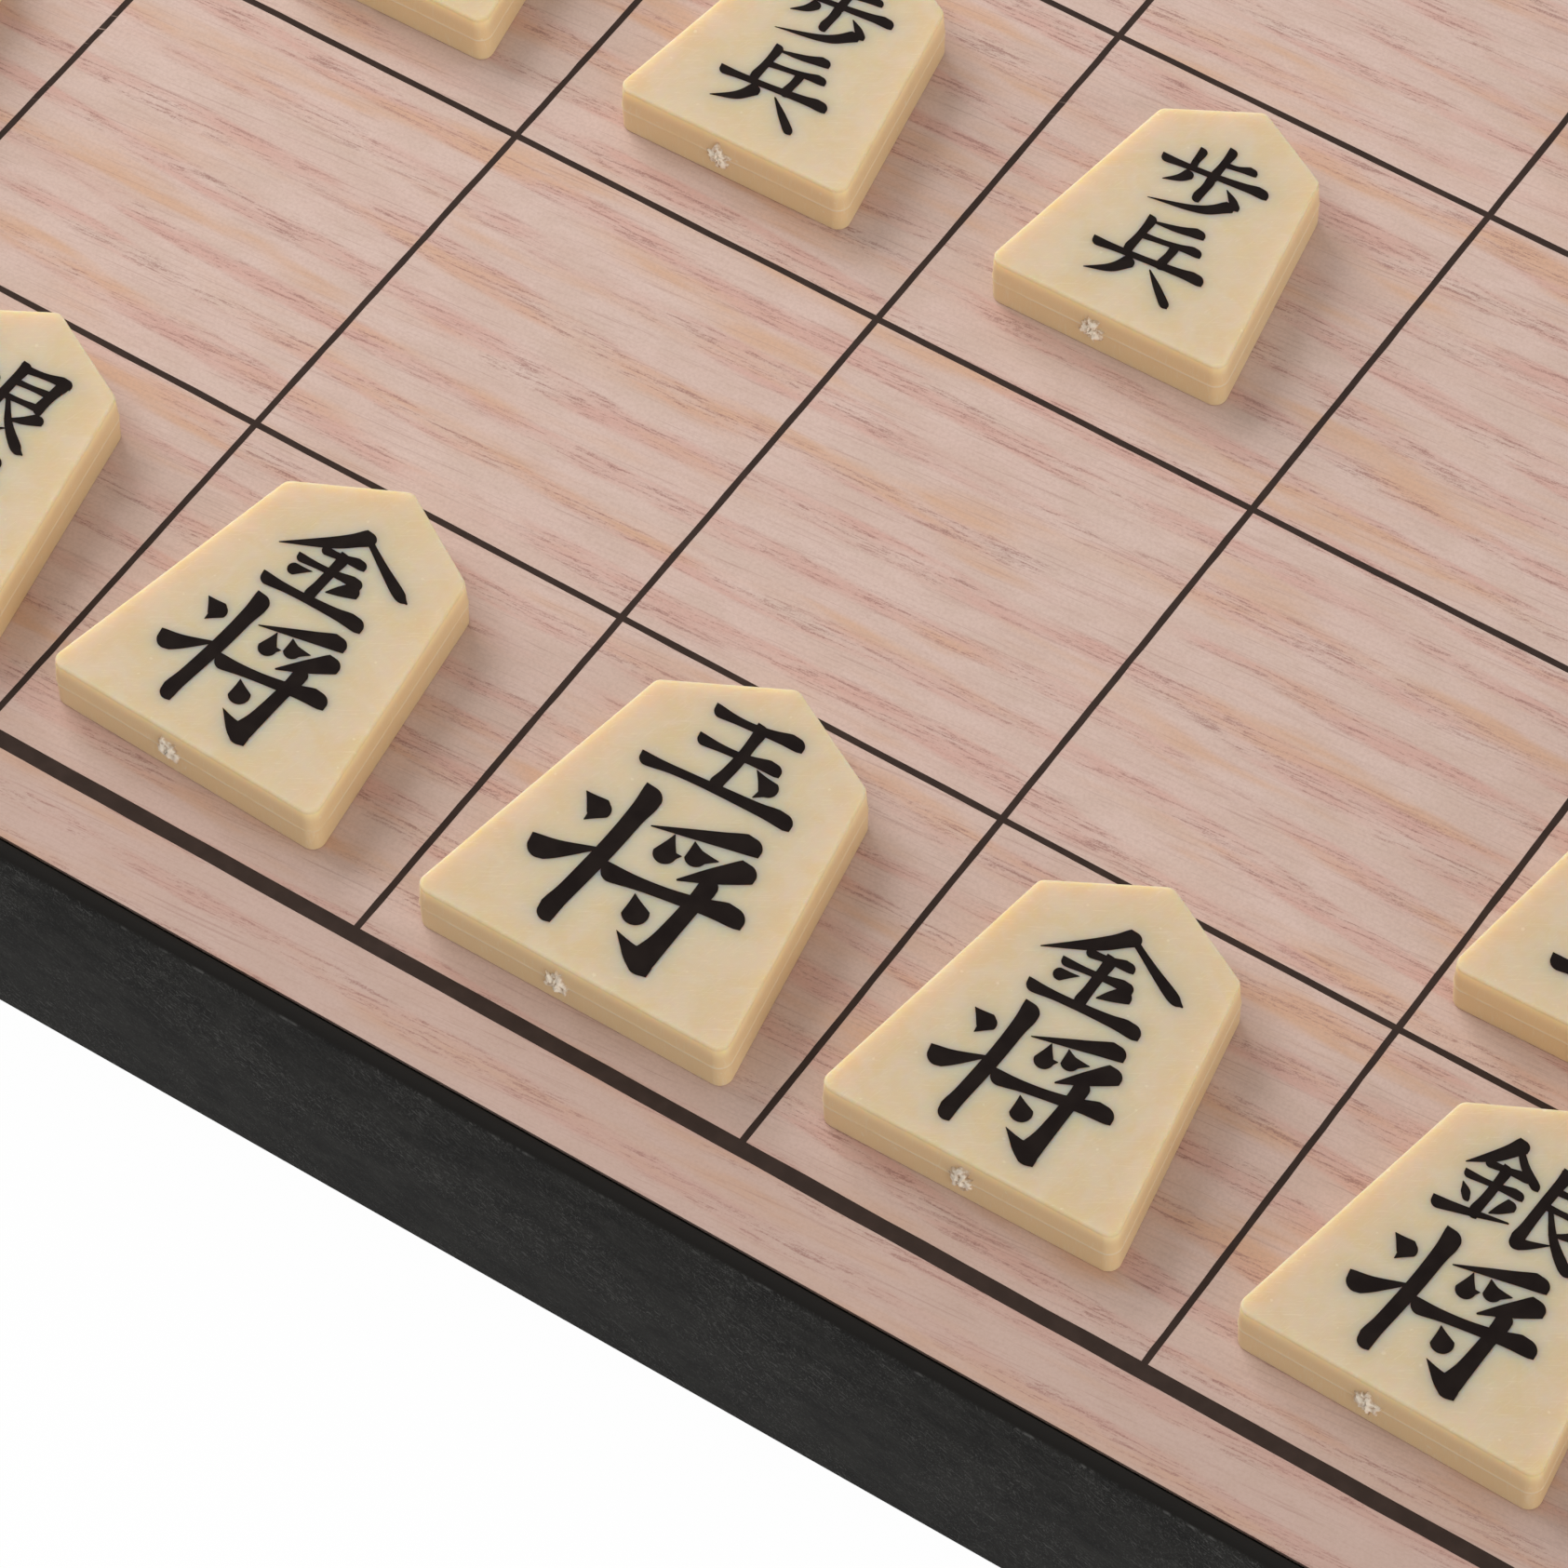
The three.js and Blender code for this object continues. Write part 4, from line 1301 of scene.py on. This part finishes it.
    def face_drop(self, places: np.ndarray) -> np.ndarray:
        """How far the dished face lies below its edge at each place: nearly all of the dish inside.

        Args:
            places: Rows of x and y on the face.

        Returns:
            The drop at each place: dish times 1 - s^4, where s goes from 0 in the middle to 1 at the edge.
        """
        from_middle = places - self.face_middle
        rim = self.outline(self.draft + self.edge_round) - self.face_middle
        bearing, rim_bearing = np.arctan2(*from_middle.T[::-1]), np.arctan2(*rim.T[::-1])
        order = np.argsort(rim_bearing)
        rim_reach = np.linalg.norm(rim, axis=1)[order]
        reach = np.interp(bearing, rim_bearing[order], rim_reach, period=2 * np.pi)
        share = np.linalg.norm(from_middle, axis=1) / reach
        return self.dish * (1 - np.clip(share, 0, 1) ** 4)

    def ink_shade(self, shell: np.ndarray, mark: Mark) -> np.ndarray:
        """Measure the painted shade round the marks: it fades exponentially with the distance from the
        nearest stroke.

        Args:
            shell: Points of the shell.
            mark: The mark on its face.

        Returns:
            A number from 0 to 1 for each point.
        """
        lines = np.vstack([line for line, _, _ in mark.strokes()])
        gap = np.linalg.norm(shell[:, None, :2] - lines[None, :, :2], axis=2) - lines[None, :, 2]
        ink_shade = np.exp(-np.clip(gap.min(1), 0, None) / self.ink_shade_reach)
        return np.where(shell[:, 2] > self.thickness - 2 * self.dish, ink_shade, 0.0)


@dataclass
class Pieces:
    """All forty pieces, found by the names of their nodes."""

    random: Random = field(default_factory=lambda: np.random.default_rng(SEED))

    def build(self) -> None:
        """Build each piece in the order of its node's name."""
        finishes = PieceFinishes(*(finish().material() for finish in (IvoryPlastic, TornPlastic, MarkInk)))
        for node in sorted(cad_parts):
            for side in Side:
                for kind in PieceKind:
                    if node.startswith(f"{side.prefix}_{kind.name.lower()}"):
                        GamePiece(node, kind, side).build(finishes, self.random)


@dataclass
class PrintedGrid:
    """The printed lines of one half: thin films of ink on the sheet."""

    side: Side
    file_pitch: float = 25.9
    rank_pitch: float = 26.3
    squares: int = 9
    line_width: float = 0.42
    border_width: float = 1.0
    star_radius: float = 0.85
    film: float = 0.008
    film_step: float = 0.003
    line_steps: int = 90
    star_steps: int = 23
    star_place: float = 1.5  # squares from the middle of the board
    ragged: float = 0.012
    sheet_top: float = 0.0
    points: list[np.ndarray] = field(default_factory=list)
    faces: Faces = field(default_factory=list)
    count: int = 0

    def line(self, start: np.ndarray, end: np.ndarray, width: float, level: float, random: Random) -> None:
        """Print one straight line whose edges wander a little.

        Args:
            start: Middle of its first end.
            end: Middle of its last end.
            width: Its width.
            level: Height of its upper face.
            random: Source of the wander.
        """
        share = np.linspace(0, 1, self.line_steps)[:, None]
        middle = start * (1 - share) + end * share
        along = (end - start) / np.linalg.norm(end - start)
        square = np.array([-along[1], along[0]])
        wander = random.normal(0, self.ragged, (2, self.line_steps, 1))
        left = middle + square * (width / 2 + wander[0])
        right = middle - square * (width / 2 + wander[1])
        self.add(left, right, level)

    def add(self, left: np.ndarray, right: np.ndarray, level: float) -> None:
        """Add a closed thin film between two edges.

        Args:
            left: Its left edge.
            right: Its right edge, as many points.
            level: Height of its upper face.
        """
        self.points.append(film_between(left, right, self.sheet_top - self.film, level))
        self.faces += (grid_faces(len(left), FILM_POINTS, True) + self.count).tolist()
        first, last = self.count, self.count + FILM_POINTS * (len(left) - 1)
        self.faces += [[first + 3, first + 2, first + 1, first], [last, last + 1, last + 2, last + 3]]
        self.count += FILM_POINTS * len(left)

    def star(self, centre: np.ndarray, level: float) -> None:
        """Print one round dot: both edges are half circles that meet at its ends.

        Args:
            centre: Its middle.
            level: Height of its upper face.
        """
        angle = np.linspace(-np.pi / 2, np.pi / 2, self.star_steps + 2)[1:-1]
        flat = np.sin(angle) * self.star_radius
        half = np.cos(angle) * self.star_radius
        left = centre + np.column_stack([flat, half])
        right = centre + np.column_stack([flat, -half])
        self.add(left, right, level)

    def build(self, ink: bpy.types.Material, random: Random) -> None:
        """Print the files, the ranks, the thick border and the star dots of this half.

        Args:
            ink: Finish of the lines.
            random: Source of the lines' wander.
        """
        low, high = box_of(f"{self.side.prefix}_printed_sheet")
        self.sheet_top = high[2]
        reach_x, reach_y = self.squares * self.file_pitch / 2, self.squares * self.rank_pitch / 2
        fold = high[1] if self.side is Side.NEAR else low[1]
        outer = self.side.value * reach_y
        level = self.sheet_top + self.film
        for i in range(1, self.squares):
            x = -reach_x + i * self.file_pitch
            self.line(np.array([x, fold]), np.array([x, outer]), self.line_width, level, random)
        level += self.film_step
        for i in range(1, self.squares // 2 + 1):
            y = self.side.value * (reach_y - i * self.rank_pitch)
            self.line(np.array([-reach_x, y]), np.array([reach_x, y]), self.line_width, level, random)
        level += self.film_step
        half = self.border_width / 2
        ends = [np.array([side * reach_x, 0.0]) for side in (-1, 1)]
        for end in ends:
            corner = end + [0, outer + self.side.value * half]
            self.line(end + [0, fold], corner, self.border_width, level, random)
        level += self.film_step
        self.line(ends[0] + [0, outer], ends[1] + [0, outer], self.border_width, level, random)
        for hand in (-1, 1):
            pitches = [hand * self.file_pitch, self.side.value * self.rank_pitch]
            self.star(self.star_place * np.array(pitches), level)
        name = f"{self.side.prefix}_grid_lines"
        make_piece(name, np.vstack(self.points), self.faces, ink, self.side.body)
        LOG.info("%s: %d points", name, self.count)


@dataclass
class CaseHalf:
    """One black case half with its feet: the moulding keeps its solid's form, smoothly shaded."""

    side: Side
    foot_shares: tuple[tuple[float, float], ...] = (
        (0.55, 0.0), (0.86, 0.02), (0.95, 0.08), (1.0, 0.2), (1.0, 0.62), (0.985, 0.66), (0.985, 0.99)
    )
    sharp_above: float = 28.0

    def build(self, plastic: bpy.types.Material, rubber: bpy.types.Material) -> None:
        """Smooth the moulding and turn the feet.

        Args:
            plastic: Finish of the moulding.
            rubber: Finish of the feet.
        """
        node = f"{self.side.prefix}_case"
        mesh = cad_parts[node].data.copy()
        mesh.name = f"{node}_moulding"
        moulding = bpy.data.objects.new(mesh.name, mesh)
        bpy.context.scene.collection.objects.link(moulding)
        merge_doubles(mesh)
        mesh.materials.clear()
        mesh.materials.append(plastic)
        smooth(moulding, self.sharp_above)
        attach(moulding, self.side.body)
        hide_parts(node)
        LOG.info("%s: %d points", mesh.name, len(mesh.vertices))
        for name in sorted(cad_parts):
            if name.startswith(f"{self.side.prefix}_foot_"):
                self.foot(name, rubber)

    def foot(self, node: str, rubber: bpy.types.Material) -> None:
        """Turn one rubber foot in the place of its solid.

        Args:
            node: Name of the solid.
            rubber: Finish of the foot.
        """
        low, high = box_of(node)
        radius, height = (high[0] - low[0]) / 2, high[2] - low[2]
        profile = tuple((r * radius, z * height) for r, z in self.foot_shares)
        centre = (*((low + high)[:2] / 2), low[2])
        points, faces = Turned(profile).mesh(centre)
        piece = make_piece(f"{node}_rubber", points, faces, rubber, self.side.body)
        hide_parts(node)


def coat(names: Iterable[str], material: bpy.types.Material) -> None:
    """Give kept solids their finish.

    Args:
        names: Names of the solids.
        material: Their finish.
    """
    for name in names:
        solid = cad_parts[name]
        solid.data.materials.clear()
        solid.data.materials.append(material)
        LOG.info("%s: coated with %s", name, material.name)


@dataclass(frozen=True)
class HingePin:
    """A drawn steel pin with round ends, in the place of its solid."""

    node: str
    end_round: float = 0.3
    round_steps: int = 5
    sides: int = 32

    def build(self, steel: bpy.types.Material) -> None:
        """Turn the pin along X.

        Args:
            steel: Finish of the pin.
        """
        low, high = box_of(self.node)
        radius, length = (high[2] - low[2]) / 2, high[0] - low[0]
        quarter = np.linspace(0, np.pi / 2, self.round_steps)
        inset, depth = self.end_round * (1 - np.sin(quarter)), self.end_round * (1 - np.cos(quarter))
        start = list(zip((radius - inset).tolist(), depth.tolist()))
        profile = start + [(r, length - z) for r, z in reversed(start)]
        centre = (low[0], *((low + high)[1:] / 2))
        points, faces = Turned(tuple(profile), self.sides).mesh(centre, along_x=True)
        piece = make_piece(f"{self.node}_steel", points, faces, steel, Side.NEAR.body)
        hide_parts(self.node)
        LOG.info("%s: turned", self.node)


@dataclass(frozen=True)
class Lamp:
    """A square soft lamp that faces the middle of the board; gloss mirrors the white dome alone.

    Place and size are in metres, the power in watts.
    """

    name: str
    place: Point3
    size: float
    power: float

    def build(self) -> None:
        """Hang the lamp."""
        made = bpy.data.lights.new(self.name, "AREA")
        made.shape = "SQUARE"
        made.size = self.size
        made.energy = self.power
        lamp = bpy.data.objects.new(self.name, made)
        lamp.visible_glossy = False
        bpy.context.scene.collection.objects.link(lamp)
        away = Vector(self.place)
        lamp.matrix_world = Matrix.Translation(away) @ away.to_track_quat("Z", "Y").to_matrix().to_4x4()


@dataclass(frozen=True)
class Studio:
    """The pale floor, the soft lamps and the camera.

    The eye, the target and the sensor are in millimetres, the roll is in degrees, and the nearest
    depth and the reach of the floor are in metres.
    """

    eye: Point3 = (156.66, -313.58, 383.05)
    target: Point3 = (1.38, -96.71, 18.1)
    roll: float = -1.93
    lens: float = 184.8
    sensor: float = 36.0
    nearest: float = 0.01
    floor_reach: float = 12.0
    floor_colour: Rgba = (0.8, 0.8, 0.8, 1.0)
    floor_glow: float = 0.985
    dome_share: float = 0.46
    lamps: tuple[Lamp, ...] = (
        Lamp("key", (-0.7, 0.16, 0.5), 0.68, 7.1),
        Lamp("fill", (2.62, -1.03, 0.76), 1.9, 34.0),
    )

    def build(self) -> None:
        """Set the camera first, then the floor, the world and the lamps."""
        self.camera()
        self.floor()
        self.world()
        for lamp in self.lamps:
            lamp.build()
        bpy.context.scene.view_settings.view_transform = "Standard"

    def camera(self) -> None:
        """Look from the eye to the target, turned about the line of sight by the roll."""
        made = bpy.data.cameras.new("camera")
        made.lens = self.lens
        made.sensor_width = self.sensor
        made.clip_start = self.nearest
        camera = bpy.data.objects.new("camera", made)
        bpy.context.scene.collection.objects.link(camera)
        eye, target = Vector(self.eye) * MM, Vector(self.target) * MM
        ahead = (target - eye).normalized()
        right = ahead.cross(Vector((0, 0, 1))).normalized()
        right.rotate(Matrix.Rotation(math.radians(self.roll), 3, -ahead))
        up = right.cross(ahead)
        camera.matrix_world = Matrix.Translation(eye) @ Matrix((right, up, -ahead)).transposed().to_4x4()
        bpy.context.scene.camera = camera

    def floor(self) -> None:
        """Lay a wide pale floor that shows almost white and keeps the object's shadow."""
        reach = self.floor_reach
        mesh = bpy.data.meshes.new("floor")
        corners = [(-reach, -reach, 0), (reach, -reach, 0), (reach, reach, 0), (-reach, reach, 0)]
        mesh.from_pydata(corners, [], [(0, 1, 2, 3)])
        floor = bpy.data.objects.new("floor", mesh)
        bpy.context.scene.collection.objects.link(floor)
        shader = Shader("pale_floor")
        shader.set(Base_Color=self.floor_colour, Roughness=0.9, Specular_IOR_Level=0.1)
        glow = shader.node("ShaderNodeEmission", {"Strength": 1.0})
        paths = shader.node("ShaderNodeLightPath", {}).outputs
        seen = shader.math("MAXIMUM", paths["Is Camera Ray"], paths["Is Glossy Ray"])
        seen = shader.math("MAXIMUM", seen, paths["Is Transmission Ray"])
        share = shader.times(seen, self.floor_glow)
        inputs = {0: share, 1: shader.surface.outputs[0], 2: glow.outputs[0]}
        blend = shader.node("ShaderNodeMixShader", inputs)
        output = shader.tree.nodes["Material Output"]
        shader.feed(output.inputs["Surface"], blend.outputs[0])
        mesh.materials.append(shader.material)

    def world(self) -> None:
        """Surround the object with soft white light; the camera, metal and glass see plain white."""
        world = bpy.data.worlds.new("studio")
        world.use_nodes = True
        tree = world.node_tree
        background = tree.nodes["Background"]
        background.inputs["Color"].default_value = (1, 1, 1, 1)
        paths = tree.nodes.new("ShaderNodeLightPath").outputs
        seen = paths["Is Camera Ray"]
        for ray in ("Is Glossy Ray", "Is Transmission Ray"):
            either = tree.nodes.new("ShaderNodeMath")
            either.operation = "MAXIMUM"
            tree.links.new(seen, either.inputs[0])
            tree.links.new(paths[ray], either.inputs[1])
            seen = either.outputs[0]
        level = tree.nodes.new("ShaderNodeMapRange")
        level.inputs["To Min"].default_value = self.dome_share
        level.inputs["To Max"].default_value = 1.0
        tree.links.new(seen, level.inputs["Value"])
        tree.links.new(level.outputs[0], background.inputs["Strength"])
        bpy.context.scene.world = world


def main() -> None:
    """Build the studio, then the case, the printed board, the metal parts and the pieces."""
    logging.basicConfig(level=logging.INFO, format="%(message)s")
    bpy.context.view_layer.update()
    random = np.random.default_rng(SEED)
    Studio().build()
    plastic, rubber = BlackPlastic().material(), Rubber().material()
    film, grid_ink = PrintedFilm().material(), GridInk().material()
    steel = Metal().material()
    nickel = Metal(
        slot="magnet",
        name="bright_nickel",
        light=srgb(200, 198, 192),
        dark=srgb(170, 167, 158),
        roughness=0.22,
        lines=(2500, 2500, 2500),
    ).material()
    for side in Side:
        CaseHalf(side).build(plastic, rubber)
        coat([f"{side.prefix}_printed_sheet"], film)
        PrintedGrid(side).build(grid_ink, random)
        coat([f"{side.prefix}_steel_plate"], steel)
        coat([f"{side.prefix}_closing_magnet_{hand}" for hand in ("left", "right")], nickel)
    for hand in ("left", "right"):
        HingePin(f"{hand}_hinge_pin").build(steel)
    Pieces().build()


if __name__ == "__main__":
    main()
